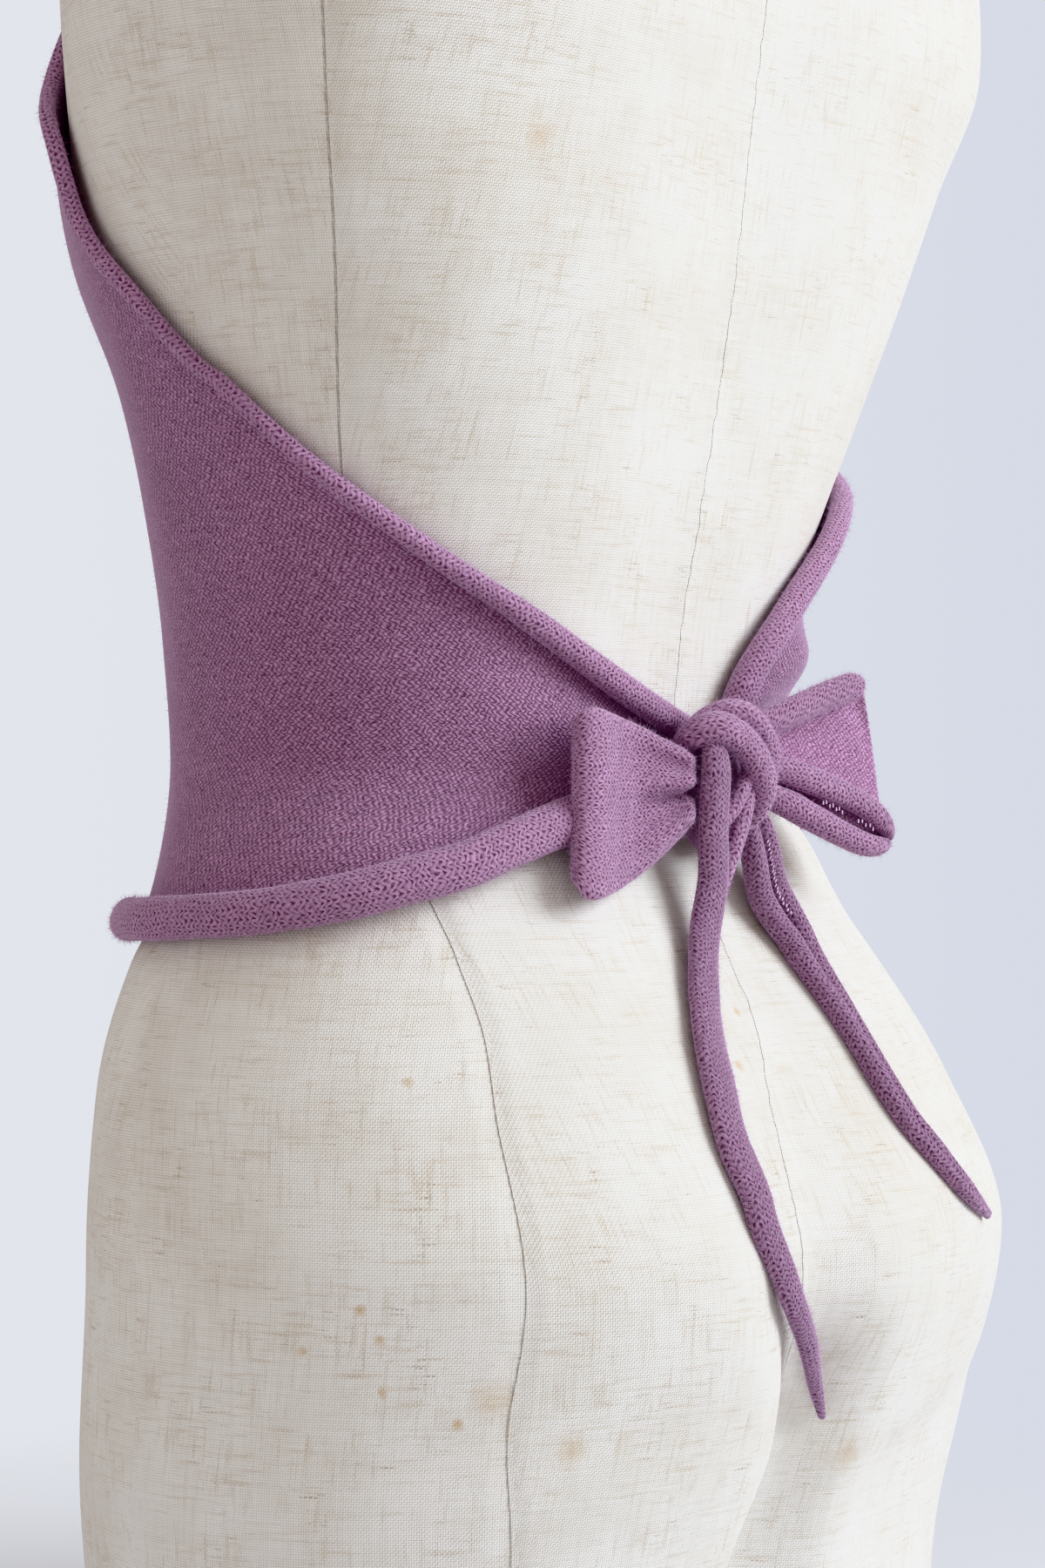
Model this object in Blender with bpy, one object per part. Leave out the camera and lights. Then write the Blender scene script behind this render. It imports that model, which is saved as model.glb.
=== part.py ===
"""Backless halter camisole, knitted in fine wool, worn by a limbless dress form.

The garment is one knitted shape, tied in a bow at the small of the back.
All tables are in millimetres and degrees, and become metres at the mesh.
The origin is the centre of the form's flat base, and Z points up.
The front faces -Y, so the wearer's left side is at +X.
A turn of 0 degrees is centre front, 90 the left side and 180 centre back.
"""

import math

import bpy
from mathutils import Vector

MM = 0.001

# cloth
WALL = 1.6            # thickness of the knitted cloth
CLOTH_GAP = 1.6       # air between the form and the cloth on it
BUST_GAP = 3.4        # more air over the fullest part of the front
SEAM_GAP = 0.4        # air between two pieces that touch
CURL_GAP = 1.7        # air between the end of a curl and its own wall
CURL_POINTS = 6       # points round one curled edge
WALL_POINTS = 8       # points from the hem up to the top edge

# dress form
FORM_COLUMNS = 44
FORM_SPLIT = 2        # rows of faces between two rows of the table
TURN_STEP = 1.0       # the steps that the surface's direction is measured over
HEIGHT_STEP = 3.0

# height, half width, depth behind, depth in front, centre, squareness, valley
FORM_ROWS = [
    (0, 158, 104, 98, 2, 2.2, 4),
    (55, 165, 108, 101, 2, 2.2, 8),
    (105, 171, 122, 104, 4, 2.15, 12),
    (158, 171, 134, 107, 7, 2.1, 16),
    (205, 162, 117, 106, 3, 2.1, 13),
    (245, 144, 95, 97, -3, 2.2, 9),
    (275, 127, 82, 85, -7, 2.2, 5),
    (308, 111, 76, 80, -15, 2.2, 3),
    (345, 115, 79, 81, -14, 2.2, 4),
    (385, 125, 83, 84, -9, 2.3, 5),
    (420, 138, 86, 83, -4, 2.4, 6),
    (460, 154, 91, 89, 0, 2.5, 7),
    (500, 171, 96, 86, 2, 2.6, 7),
    (540, 186, 101, 80, 4, 2.8, 6),
    (585, 188, 95, 74, 6, 2.8, 5),
    (625, 182, 86, 68, 8, 2.7, 3),
    (650, 150, 76, 62, 8, 2.5, 2),
    (672, 96, 66, 56, 8, 2.2, 1),
    (692, 64, 58, 52, 6, 2.0, 0),
    (740, 57, 54, 52, 2, 2.0, 0),
]
VALLEY_SPREAD = 28.0  # half width of the shallow valley down the back
BUST_X = 78.0
BUST_Z = 497.0
BUST_OUT = 28.0
BUST_SPREAD = 44.0
BUST_RISE = 60.0      # how far the fullness reaches upward
BUST_DROP = 48.0      # and downward
BUST_FADE = 3.0       # how sharply it fades in past the sides

# turn, height and roll radius along the top edge, from the bow to the bib
TOP_EDGE = [
    (172, 318, 5.5),
    (165, 324, 5.4),
    (158, 330, 5.3),
    (150, 341, 5.0),
    (141, 353, 4.7),
    (132, 363, 4.5),
    (123, 375, 4.3),
    (114, 386, 4.1),
    (105, 397, 3.9),
    (97, 411, 3.7),
    (90, 426, 3.5),
    (82, 446, 3.4),
    (78, 462, 3.3),
    (75.5, 480, 3.2),
    (75, 500, 3.2),
    (72, 522, 3.2),
    (65, 544, 3.2),
    (56, 566, 3.2),
    (47, 587, 3.2),
    (38, 605, 3.2),
    (30, 621, 3.2),
    (24.5, 634, 3.2),
    (21.5, 641, 3.2),
    (19.5, 643.5, 3.2),
    (17.5, 641, 3.2),
    (15, 634, 3.2),
    (11, 624, 3.2),
    (6, 617, 3.2),
    (0, 615, 3.2),
]
# turn of the hem under each point of the top edge, and the hem's height there
HEM_EDGE = [
    (172, 295.0, 5.2),
    (165, 291, 5.5),
    (158, 288, 5.8),
    (150, 284.5, 6.0),
    (141, 280.5, 6.2),
    (132, 276, 6.3),
    (123, 272.5, 6.4),
    (114, 268.5, 6.5),
    (105, 265, 6.5),
    (97, 262, 6.5),
    (89, 260, 6.3),
    (82, 258.5, 6.0),
    (77, 257.5, 6.0),
    (72, 257, 6.0),
    (67, 257, 6.0),
    (61, 256.5, 6.0),
    (54, 256.5, 6.0),
    (47, 256, 6.0),
    (40, 256, 6.0),
    (33, 256, 6.0),
    (26, 255.5, 6.0),
    (20, 255.5, 6.0),
    (16, 255.5, 6.0),
    (13, 255.5, 6.0),
    (10.5, 255, 6.0),
    (8, 255, 6.0),
    (5.5, 255, 6.0),
    (3, 255, 6.0),
    (0, 255, 6.0),
]

# turn and height of the rolled strap from a bib corner round the neck
STRAP_LINE = [
    (19.6, 650.6),
    (29, 662),
    (48, 675),
    (70, 686),
    (95, 692),
    (125, 697),
    (155, 700),
    (180, 701),
]
STRAP_RADIUS = 4.0
STRAP_STEPS = 17
STRAP_POINTS = 8      # points round the strap's roll

# the bow: a core at the small of the back, with every piece seated on it
CORE = Vector((4, 75, 300))
CORE_SIZE = Vector((14, 8.5, 21))     # half width, half depth, half height
CORE_LEVELS = 11
CORE_TILT = 80        # how near its poles the core's first and last rings lie
CORE_TURN = 24        # degrees between points round the core
STRAND_TURN = 36      # degrees between points round a strand
STRAND_SPLIT = 2      # rings between two points of a strand's line

# where each strand runs over the core, and its radius
WRAP_LINE = [
    (23, 73.7, 317.1, 4.2),
    (18.5, 79.5, 320, 4.5),
    (11, 88, 319, 4.8),
    (3, 90, 314, 4.9),
    (-3, 90, 305, 4.9),
    (-3, 90, 295, 4.6),
    (2, 89, 286, 3.8),
]
BAND_LINE = [
    (6, 71, 326, 4.0),
    (-3, 74, 326.4, 4.4),
    (-10, 78, 321, 4.6),
    (-14.5, 80, 313, 4.8),
    (-15.5, 80, 303, 4.8),
    (-12.5, 79, 293, 4.2),
]

# left loop: distance out, upper edge, lower edge, front and back layers
LOOP_LEFT_ROWS = [
    (21.5, 310.0, 286.0, 82.0, 78.8),
    (30, 312.8, 279.0, 85.6, 78.6),
    (42, 317.8, 271.0, 85.8, 77.6),
    (54, 321.6, 267.0, 84.4, 76.8),
    (62, 322.0, 266.6, 82.4, 75.6),
]
LOOP_LEFT_TIP = (66.5, 318.5, 270.0, 78.6)
LOOP_BULGE = 1.8      # how far each layer swells between its edges
LOOP_LEAN_Z = 290.0   # below here the loop leans out over the seat
LOOP_LEAN = 0.4
LOOP_SLACK = 10.0     # how soon past the knot the loop swells and leans in full
LOOP_POINTS = 6       # points from its lower edge up to its upper edge

# right loop: distance out, top roll, upper and lower roll of the band
LOOP_RIGHT_START = Vector((-21.2, 79.0, 0))
LOOP_RIGHT_END = Vector((-57.0, 88.0, 0))
LOOP_RIGHT_FLARE = 0.26   # how much further out the lower edge reaches
WEB_POINTS = 3
WEB_END = 1.6         # the web stops this far above the band's upper roll
# directions of the points round the band's two rolls
UPPER_BUMP = (70, 35, 0, -35, -66)
LOWER_BUMP = (66, 30, 0, -35, -70, -105)
LOOP_RIGHT_ROWS = [
    (0.00, 319.6, 4.2, 306.2, 297.0, 4.5),
    (0.25, 323.0, 4.2, 303.0, 293.8, 4.5),
    (0.50, 326.4, 4.2, 299.2, 289.8, 4.5),
    (0.75, 329.4, 4.1, 295.0, 285.8, 4.5),
    (0.93, 331.4, 3.8, 291.0, 282.4, 4.2),
    (1.00, 331.8, 2.6, 289.4, 281.6, 2.8),
]

# across, height, width and thickness of each hanging tie end
TIE_LEFT_ROWS = [
    (16.0, 310.5, 8.0, 5.6),
    (17.0, 303.0, 11.6, 7.8),
    (17.2, 290.0, 12.0, 8.0),
    (16.0, 275.0, 12.0, 8.0),
    (19.0, 258.0, 12.0, 7.6),
    (33.0, 238.0, 12.6, 7.2),
    (47.0, 216.0, 13.0, 7.0),
    (54.0, 193.0, 13.0, 7.0),
    (56.0, 176.0, 11.6, 6.6),
    (51.0, 156.0, 10.0, 6.2),
    (38.0, 137.0, 8.0, 5.6),
    (18.0, 119.0, 5.6, 4.6),
    (4.0, 109.0, 3.6, 3.4),
]
# how far the middle of each row stands off the form
TIE_LEFT_STAND = (28.0, 29.0, 23.5, 16.0, 8.6, 5.8, 5.2, 5.0, 4.8, 4.8, 4.4, 3.8, 3.2)
TIE_RIGHT_ROWS = [
    (-11.5, 286.0, 13.0, 7.0),
    (-15.0, 278.0, 16.0, 8.0),
    (-21.0, 267.0, 16.8, 8.2),
    (-29.0, 250.0, 14.4, 8.0),
    (-33.0, 232.0, 11.6, 7.4),
    (-35.0, 215.0, 10.0, 6.8),
    (-39.0, 199.0, 9.2, 6.4),
    (-47.0, 185.0, 8.0, 5.8),
    (-57.0, 173.0, 6.0, 4.8),
    (-69.0, 165.0, 3.6, 3.4),
]
TIE_RIGHT_STAND = (19.0, 14.0, 8.0, 5.4, 5.0, 4.8, 4.6, 4.4, 3.8, 3.0)
TIE_SLIT = 14.0       # half angle of the open slit where the two edges meet
TIE_POINTS = 10       # points round the roll
OUTSIDE = 0.0         # turn of a slit that faces away from the body
INSIDE = math.pi

LINEN = (0.80, 0.75, 0.66)
LINEN_ROUGHNESS = 0.9
MAUVE = (0.38, 0.17, 0.35)
MAUVE_ROUGHNESS = 0.95
SHARP_ANGLE = 40


# Plain helpers


def smooth(rows, column, at):
    """Value of a table's column at a place in its first column, with no overshoot."""
    xs = [row[0] for row in rows]
    ys = [row[column] for row in rows]
    if xs[0] > xs[-1]:
        xs.reverse()
        ys.reverse()
    at = min(max(at, xs[0]), xs[-1])
    steps = [b - a for a, b in zip(xs, xs[1:])]
    rises = [(b - a) / h for a, b, h in zip(ys, ys[1:], steps)]
    slopes = [rises[0]]
    for i in range(1, len(rises)):
        if rises[i - 1] * rises[i] <= 0:
            slopes.append(0.0)
        else:
            near = 2 * steps[i] + steps[i - 1]
            far = steps[i] + 2 * steps[i - 1]
            slopes.append((near + far) / (near / rises[i - 1] + far / rises[i]))
    slopes.append(rises[-1])
    k = 0
    while k < len(steps) - 1 and at > xs[k + 1]:
        k += 1
    h = steps[k]
    s = (at - xs[k]) / h
    start = (2 * s ** 3 - 3 * s ** 2 + 1) * ys[k] + (s ** 3 - 2 * s ** 2 + s) * h * slopes[k]
    end = (3 * s ** 2 - 2 * s ** 3) * ys[k + 1] + (s ** 3 - s ** 2) * h * slopes[k + 1]
    return start + end


def spaced(start, end, count):
    """Evenly spaced values, both ends included."""
    return [start + (end - start) * i / (count - 1) for i in range(count)]


def signed_power(value, power):
    return math.copysign(abs(value) ** power, value)


def material(name, colour, roughness):
    made = bpy.data.materials.new(name)
    made.use_nodes = True
    shader = made.node_tree.nodes["Principled BSDF"]
    shader.inputs["Base Color"].default_value = (*colour, 1.0)
    shader.inputs["Roughness"].default_value = roughness
    shader.inputs["Metallic"].default_value = 0.0
    made.diffuse_color = (*colour, 1.0)
    return made


def solid(name, rings, colour, roughness, paired_caps=True):
    """Closed solid through equal rings of points, capped at the first and last ring."""
    count = len(rings[0])
    points = [Vector(p) * MM for ring in rings for p in ring]
    faces = []
    for r in range(len(rings) - 1):
        for i in range(count):
            j = (i + 1) % count
            faces.append((r * count + i, r * count + j, (r + 1) * count + j, (r + 1) * count + i))
    last = (len(rings) - 1) * count
    if paired_caps:
        for i in range(count // 2 - 1):
            far = count - 1 - i
            faces.append((i + 1, i, far, far - 1))
            faces.append((last + i, last + i + 1, last + far - 1, last + far))
    else:
        faces.append(tuple(reversed(range(count))))
        faces.append(tuple(last + i for i in range(count)))
    mesh = bpy.data.meshes.new(name)
    mesh.from_pydata(points, [], faces)
    mesh.validate()
    made = bpy.data.objects.new(name, mesh)
    bpy.context.scene.collection.objects.link(made)
    made.data.materials.append(material(name + "_finish", colour, roughness))
    bpy.context.view_layer.objects.active = made
    for other in bpy.context.selected_objects:
        other.select_set(False)
    made.select_set(True)
    bpy.ops.object.mode_set(mode="EDIT")
    bpy.ops.mesh.select_all(action="SELECT")
    bpy.ops.mesh.normals_make_consistent(inside=False)
    bpy.ops.object.mode_set(mode="OBJECT")
    mesh.shade_smooth()
    mesh.set_sharp_from_angle(angle=math.radians(SHARP_ANGLE))
    return made


def wall_ring(middle, normals):
    """Ring round a wall section: its outer side, then back along its inner side."""
    outer = [p + n * (WALL / 2) for p, n in zip(middle, normals)]
    inner = [p - n * (WALL / 2) for p, n in zip(middle, normals)]
    return outer + inner[::-1]


# The dress form


def form_section(z):
    return [smooth(FORM_ROWS, column, z) for column in range(1, 7)]


def form_point(turn, z, bridged=False):
    """Point on the form. Bridged cloth spans straight across between the busts."""
    half, behind, ahead, centre, squareness, valley = form_section(z)
    s = math.sin(math.radians(turn))
    c = -math.cos(math.radians(turn))
    x = half * signed_power(s, 2 / squareness)
    y = centre + (behind if c > 0 else ahead) * signed_power(c, 2 / squareness)
    if c > 0:
        y -= valley * math.exp(-(x / VALLEY_SPREAD) ** 2 / 2)
        return Vector((x, y, z))
    reach = BUST_RISE if z > BUST_Z else BUST_DROP
    height = math.exp(-((z - BUST_Z) / reach) ** 2 / 2)
    fade = min(1.0, -c * BUST_FADE)
    if bridged and abs(x) < BUST_X:
        span = 1.0
    else:
        span = math.exp(-((abs(x) - BUST_X) / BUST_SPREAD) ** 2 / 2)
    return Vector((x, y - BUST_OUT * span * height * fade, z))


def form_normal(turn, z, bridged=False):
    """Outward direction of the form's surface."""
    across = form_point(turn + TURN_STEP, z, bridged) - form_point(turn - TURN_STEP, z, bridged)
    up = form_point(turn, z + HEIGHT_STEP, bridged) - form_point(turn, z - HEIGHT_STEP, bridged)
    return across.cross(up).normalized()


def back_point(x, z, stand):
    """Point that stands off the back of the form at a place across and up it."""
    half, behind, _, centre, squareness, valley = form_section(z)
    depth = behind * (1 - (abs(x) / half) ** squareness) ** (1 / squareness)
    return Vector((x, centre + depth - valley * math.exp(-(x / VALLEY_SPREAD) ** 2 / 2) + stand, z))


def make_form():
    turns = [360 * i / FORM_COLUMNS for i in range(FORM_COLUMNS)]
    heights = [0]
    for low, high in zip(FORM_ROWS, FORM_ROWS[1:]):
        heights += spaced(low[0], high[0], FORM_SPLIT + 1)[1:]
    rings = [[form_point(t, z) for t in turns] for z in heights]
    return solid("dress_form", rings, LINEN, LINEN_ROUGHNESS, paired_caps=False)


# The body panel


def cloth_point(turn, z):
    """Middle of the cloth wall, just clear of the form."""
    full = math.exp(-((z - BUST_Z) / BUST_RISE) ** 2 / 2)
    clear = CLOTH_GAP + BUST_GAP * full + WALL / 2
    return form_point(turn, z, True) + form_normal(turn, z, True) * clear


def curl(edge, out, normal, radius):
    """Mid-line and normals of an edge that curls outward, from its start to its tail."""
    middle_radius = radius - WALL / 2
    end = 2 * math.pi - math.acos(1 - (WALL + CURL_GAP) / middle_radius)
    middle = []
    normals = []
    for angle in spaced(0, end, CURL_POINTS + 1)[1:]:
        reach = out * math.sin(angle) + normal * (1 - math.cos(angle))
        middle.append(edge + reach * middle_radius)
        normals.append(normal * math.cos(angle) - out * math.sin(angle))
    return middle, normals


def edge_out(points, k):
    """Downward in-surface direction across the edge at one column."""
    along = points[min(k + 1, len(points) - 1)][0] - points[max(k - 1, 0)][0]
    return points[k][1].cross(along).normalized()


def make_panel():
    left = list(zip(TOP_EDGE, HEM_EDGE))
    right = [((-a[0], *a[1:]), (-b[0], *b[1:])) for a, b in left[:-1]]
    columns = left + right[::-1]
    tops = [(cloth_point(a[0], a[1]), form_normal(a[0], a[1], True)) for a, _ in columns]
    hems = [(cloth_point(b[0], b[1]), form_normal(b[0], b[1], True)) for _, b in columns]
    rings = []
    for k, (top, hem) in enumerate(columns):
        middle = []
        normals = []
        for s in spaced(0, 1, WALL_POINTS):
            turn = hem[0] + (top[0] - hem[0]) * s
            z = hem[1] + (top[1] - hem[1]) * s
            middle.append(cloth_point(turn, z))
            normals.append(form_normal(turn, z, True))
        low, low_normals = curl(hems[k][0], edge_out(hems, k), hems[k][1], hem[2])
        high, high_normals = curl(tops[k][0], -edge_out(tops, k), tops[k][1], top[2])
        rings.append(wall_ring(low[::-1] + middle + high, low_normals[::-1] + normals + high_normals))
    return solid("body_panel", rings, MAUVE, MAUVE_ROUGHNESS)


# Rolled cords


def frames_along(points, outward):
    """At each point: across the cord and away from the body, square to its line."""
    made = []
    for k, point in enumerate(points):
        along = (points[min(k + 1, len(points) - 1)] - points[max(k - 1, 0)]).normalized()
        away = outward[k] - along * outward[k].dot(along)
        away.normalize()
        made.append((away.cross(along), away))
    return made


def rolled_cord(name, points, outward, widths, depths, count, slit):
    """Strip rolled into an open tube, with its slit turned out or in."""
    rings = []
    start = math.radians(TIE_SLIT)
    for point, (across, away), width, depth in zip(points, frames_along(points, outward), widths, depths):
        half = width / 2 - WALL / 2
        thick = depth / 2 - WALL / 2
        middle = []
        normals = []
        for angle in spaced(start, 2 * math.pi - start, count):
            a = angle + slit
            middle.append(point + across * (half * math.sin(a)) + away * (thick * math.cos(a)))
            normals.append((across * (thick * math.sin(a)) + away * (half * math.cos(a))).normalized())
        rings.append(wall_ring(middle, normals))
    return solid(name, rings, MAUVE, MAUVE_ROUGHNESS)


def make_strap():
    line = [(t, z) for t, z in STRAP_LINE]
    turns = spaced(line[0][0], line[-1][0], STRAP_STEPS)
    left = [(t, smooth(line, 1, t)) for t in turns]
    route = left + [(360 - t, z) for t, z in left[:-1]][::-1]
    points = []
    outward = []
    for turn, z in route:
        normal = form_normal(turn, z)
        points.append(form_point(turn, z) + normal * (STRAP_RADIUS + CLOTH_GAP))
        outward.append(normal)
    size = [STRAP_RADIUS * 2] * len(points)
    return rolled_cord("neck_strap", points, outward, size, size, STRAP_POINTS, INSIDE)


def make_tie(name, rows, stands, slit):
    points = [back_point(x, z, stand) for (x, z, _, _), stand in zip(rows, stands)]
    outward = [Vector((0, 1, 0))] * len(points)
    widths = [row[2] for row in rows]
    depths = [row[3] for row in rows]
    return rolled_cord(name, points, outward, widths, depths, TIE_POINTS, slit)


# The bow


def seated(point, clear):
    """Point moved away from the body until it is clear of the core's skin."""
    arm = point - CORE
    reach = CORE_SIZE + Vector((clear, clear, clear))
    spare = 1 - (arm.x / reach.x) ** 2 - (arm.z / reach.z) ** 2
    if spare <= 0:
        return point
    return Vector((point.x, CORE.y + reach.y * math.sqrt(spare), point.z))


def make_core():
    rings = []
    for lift in spaced(-CORE_TILT, CORE_TILT, CORE_LEVELS):
        level = math.sin(math.radians(lift))
        girth = math.cos(math.radians(lift))
        rings.append([
            CORE + Vector((
                CORE_SIZE.x * girth * math.cos(math.radians(a)),
                CORE_SIZE.y * girth * math.sin(math.radians(a)),
                CORE_SIZE.z * level,
            ))
            for a in range(0, 360, CORE_TURN)
        ])
    return solid("knot_core", rings, MAUVE, MAUVE_ROUGHNESS, paired_caps=False)


def make_strand(name, rows):
    """Round strand laid over the core."""
    fine = []
    table = [(i, *row) for i, row in enumerate(rows)]
    last = len(rows) - 1
    for s in spaced(0, last, last * STRAND_SPLIT + 1):
        radius = smooth(table, 4, s)
        point = Vector([smooth(table, column, s) for column in (1, 2, 3)])
        fine.append((seated(point, radius + SEAM_GAP), radius))
    points = [p for p, _ in fine]
    outward = [p - CORE for p in points]
    rings = []
    for (point, radius), (across, away) in zip(fine, frames_along(points, outward)):
        rings.append([
            point + (across * math.sin(math.radians(a)) + away * math.cos(math.radians(a))) * radius
            for a in range(0, 360, STRAND_TURN)
        ])
    return solid(name, rings, MAUVE, MAUVE_ROUGHNESS, paired_caps=False)


def make_left_loop():
    """Strip that leaves the knot, folds back at its tip and returns behind itself."""
    out = [row[0] for row in LOOP_LEFT_ROWS]
    front = [(x, *row[1:4]) for x, row in zip(out, LOOP_LEFT_ROWS)]
    back = [(x, row[1], row[2], row[4]) for x, row in zip(out, LOOP_LEFT_ROWS)]
    line = front + [LOOP_LEFT_TIP] + back[::-1]
    rings = []
    for k, (x, top, bottom, y) in enumerate(line):
        ahead = line[min(k + 1, len(line) - 1)]
        before = line[max(k - 1, 0)]
        along = Vector((ahead[0] - before[0], ahead[3] - before[3], 0)).normalized()
        side = Vector((-along.y, along.x, 0))
        middle = []
        for v in spaced(-1, 1, LOOP_POINTS):
            loose = min(1.0, (x - out[0]) / LOOP_SLACK)
            swell = LOOP_BULGE * (1 - v * v) * loose
            z = (top + bottom) / 2 + v * (top - bottom) / 2
            lean = LOOP_LEAN * max(0.0, LOOP_LEAN_Z - z) * loose
            middle.append(Vector((x, y + lean, z)) + side * swell)
        rings.append(wall_ring(middle, [side] * LOOP_POINTS))
    return solid("bow_loop_left", rings, MAUVE, MAUVE_ROUGHNESS)


def bumps(centre_high, centre_low, radius):
    """Two half rolls side by side, with a groove between, as places and normals."""
    made = []
    for centre, angles in ((centre_high, UPPER_BUMP), (centre_low, LOWER_BUMP)):
        for angle in angles:
            a = math.radians(angle)
            made.append(((radius * math.cos(a), centre + radius * math.sin(a)), (math.cos(a), math.sin(a))))
    return made


def make_right_loop():
    """Open loop: a roll on top, a web, and below it a band with a groove along it."""
    along = LOOP_RIGHT_END - LOOP_RIGHT_START
    face = Vector((along.y, -along.x, 0)).normalized()
    up = Vector((0, 0, 1))
    rings = []
    for s, roll, roll_radius, high, low, radius in LOOP_RIGHT_ROWS:
        ring_radius = radius - WALL / 2
        lower = bumps(high, low, ring_radius)
        web_low = lower[0][0][1] + WEB_END
        web_high = roll
        middle = []
        normals = []
        start = LOOP_RIGHT_START + along * s + up * web_high
        rolled, rolled_normals = curl(start, up, face, roll_radius)
        middle += rolled[::-1]
        normals += rolled_normals[::-1]
        for z in spaced(web_high, web_low, WEB_POINTS):
            reach = s * (1 + LOOP_RIGHT_FLARE * (web_high - z) / (web_high - low))
            middle.append(LOOP_RIGHT_START + along * reach + up * z)
            normals.append(face)
        for (n, z), (cn, cz) in lower:
            reach = s * (1 + LOOP_RIGHT_FLARE * (web_high - z) / (web_high - low))
            middle.append(LOOP_RIGHT_START + along * reach + face * n + up * z)
            normals.append(face * cn + up * cz)
        rings.append(wall_ring(middle, normals))
    return solid("bow_loop_right", rings, MAUVE, MAUVE_ROUGHNESS)


def main():
    for old in list(bpy.data.objects):
        bpy.data.objects.remove(old, do_unlink=True)
    make_form()
    make_panel()
    make_strap()
    make_core()
    make_strand("knot_wrap", WRAP_LINE)
    make_strand("knot_band", BAND_LINE)
    make_left_loop()
    make_right_loop()
    make_tie("tie_end_left", TIE_LEFT_ROWS, TIE_LEFT_STAND, INSIDE)
    make_tie("tie_end_right", TIE_RIGHT_ROWS, TIE_RIGHT_STAND, OUTSIDE)
    for made in bpy.data.objects:
        made.data.calc_loop_triangles()
        print(made.name, len(made.data.loop_triangles), "triangles")


main()
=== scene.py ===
# %% [markdown]
# # A knitted halter camisole, tied at the small of the back
#
# The top is one flat piece of fine wool, knitted sideways. Its bumpy purl side
# faces out, and its raw edges curl outward and show the smooth side in thick
# rolls. It is worn by a limbless torso form with a linen cover, so this file
# models both: first the light and the camera, then the form, then the cloth,
# the bow and the soft halo of loose fibres. The solids of the part are loaded
# as a fixed frame, and each visible piece takes the place of its solid.

import math

import bmesh
import bpy
import numpy as np
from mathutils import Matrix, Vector


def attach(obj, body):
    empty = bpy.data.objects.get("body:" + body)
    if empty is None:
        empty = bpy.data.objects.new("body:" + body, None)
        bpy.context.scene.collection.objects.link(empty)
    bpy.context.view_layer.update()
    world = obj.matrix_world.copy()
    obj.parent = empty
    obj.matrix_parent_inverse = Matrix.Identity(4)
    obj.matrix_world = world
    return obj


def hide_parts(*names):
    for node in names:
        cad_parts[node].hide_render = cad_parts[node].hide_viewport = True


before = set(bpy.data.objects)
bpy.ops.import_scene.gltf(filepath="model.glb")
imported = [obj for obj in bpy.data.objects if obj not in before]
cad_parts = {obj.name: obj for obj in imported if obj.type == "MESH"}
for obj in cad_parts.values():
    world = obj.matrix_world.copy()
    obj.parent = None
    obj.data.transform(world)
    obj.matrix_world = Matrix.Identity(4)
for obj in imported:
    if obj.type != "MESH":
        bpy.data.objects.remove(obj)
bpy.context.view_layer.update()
scene = bpy.context.scene
MM = 0.001

# %% [markdown]
# ## Camera
#
# A portrait lens held level at waist height looks at the back from the
# wearer's left. Its place is worked out from an angle round the form, so the
# same three numbers turn, raise or move it. A long lens keeps the form's
# sides nearly parallel, as in a product photograph.

# %% Camera
CAMERA_TURN = 128.0
CAMERA_DISTANCE = 1.19
CAMERA_AIM = Vector((0.0, 0.0, 0.30))
CAMERA_LENS = 85.0
CAMERA_SENSOR = 36.0

turn = math.radians(CAMERA_TURN)
to_camera = Vector((math.sin(turn), -math.cos(turn), 0.0))
to_right = Vector((math.cos(turn), math.sin(turn), 0.0))
camera_data = bpy.data.cameras.new("camera")
camera_data.lens = CAMERA_LENS
camera_data.sensor_width = CAMERA_SENSOR
camera = bpy.data.objects.new("camera", camera_data)
scene.collection.objects.link(camera)
camera.location = CAMERA_AIM + to_camera * CAMERA_DISTANCE
camera.rotation_euler = to_camera.to_track_quat("Z", "Y").to_euler()
scene.camera = camera
print("camera at", [round(v, 3) for v in camera.location])

# %% [markdown]
# ## Small bricks for materials
#
# A pattern in a material is arithmetic on places. These helpers add one Math
# node each, so a formula reads almost like a formula. The knit and the weave
# are built as node groups that only put out heights and masks, and each
# material then decides on its colours.

# %% Node helpers


def feed(tree, slot, value):
    """Puts a number or a colour on a socket, or links a node's output to it."""
    if isinstance(value, (int, float)):
        slot.default_value = value
    elif isinstance(value, tuple):
        slot.default_value = (*value, 1.0)
    else:
        tree.links.new(value, slot)


def calc(tree, operation, *inputs):
    """One Math node, whose inputs are numbers or other nodes' outputs."""
    node = tree.nodes.new("ShaderNodeMath")
    node.operation = operation
    for slot, value in zip(node.inputs, inputs):
        feed(tree, slot, value)
    return node.outputs[0]


def times(tree, first, second):
    return calc(tree, "MULTIPLY", first, second)


def plus(tree, first, second):
    return calc(tree, "ADD", first, second)


def minus(tree, first, second):
    return calc(tree, "SUBTRACT", first, second)


def mix_number(tree, factor, first, second):
    node = tree.nodes.new("ShaderNodeMix")
    node.data_type = "FLOAT"
    for slot, value in (("Factor", factor), ("A", first), ("B", second)):
        feed(tree, node.inputs[slot], value)
    return node.outputs["Result"]


def mix_colour(tree, factor, first, second, blend="MIX"):
    """One colour Mix node. Its sockets share names, so they are picked by number."""
    node = tree.nodes.new("ShaderNodeMix")
    node.data_type = "RGBA"
    node.blend_type = blend
    for slot, value in ((0, factor), (6, first), (7, second)):
        feed(tree, node.inputs[slot], value)
    return node.outputs[2]


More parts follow.
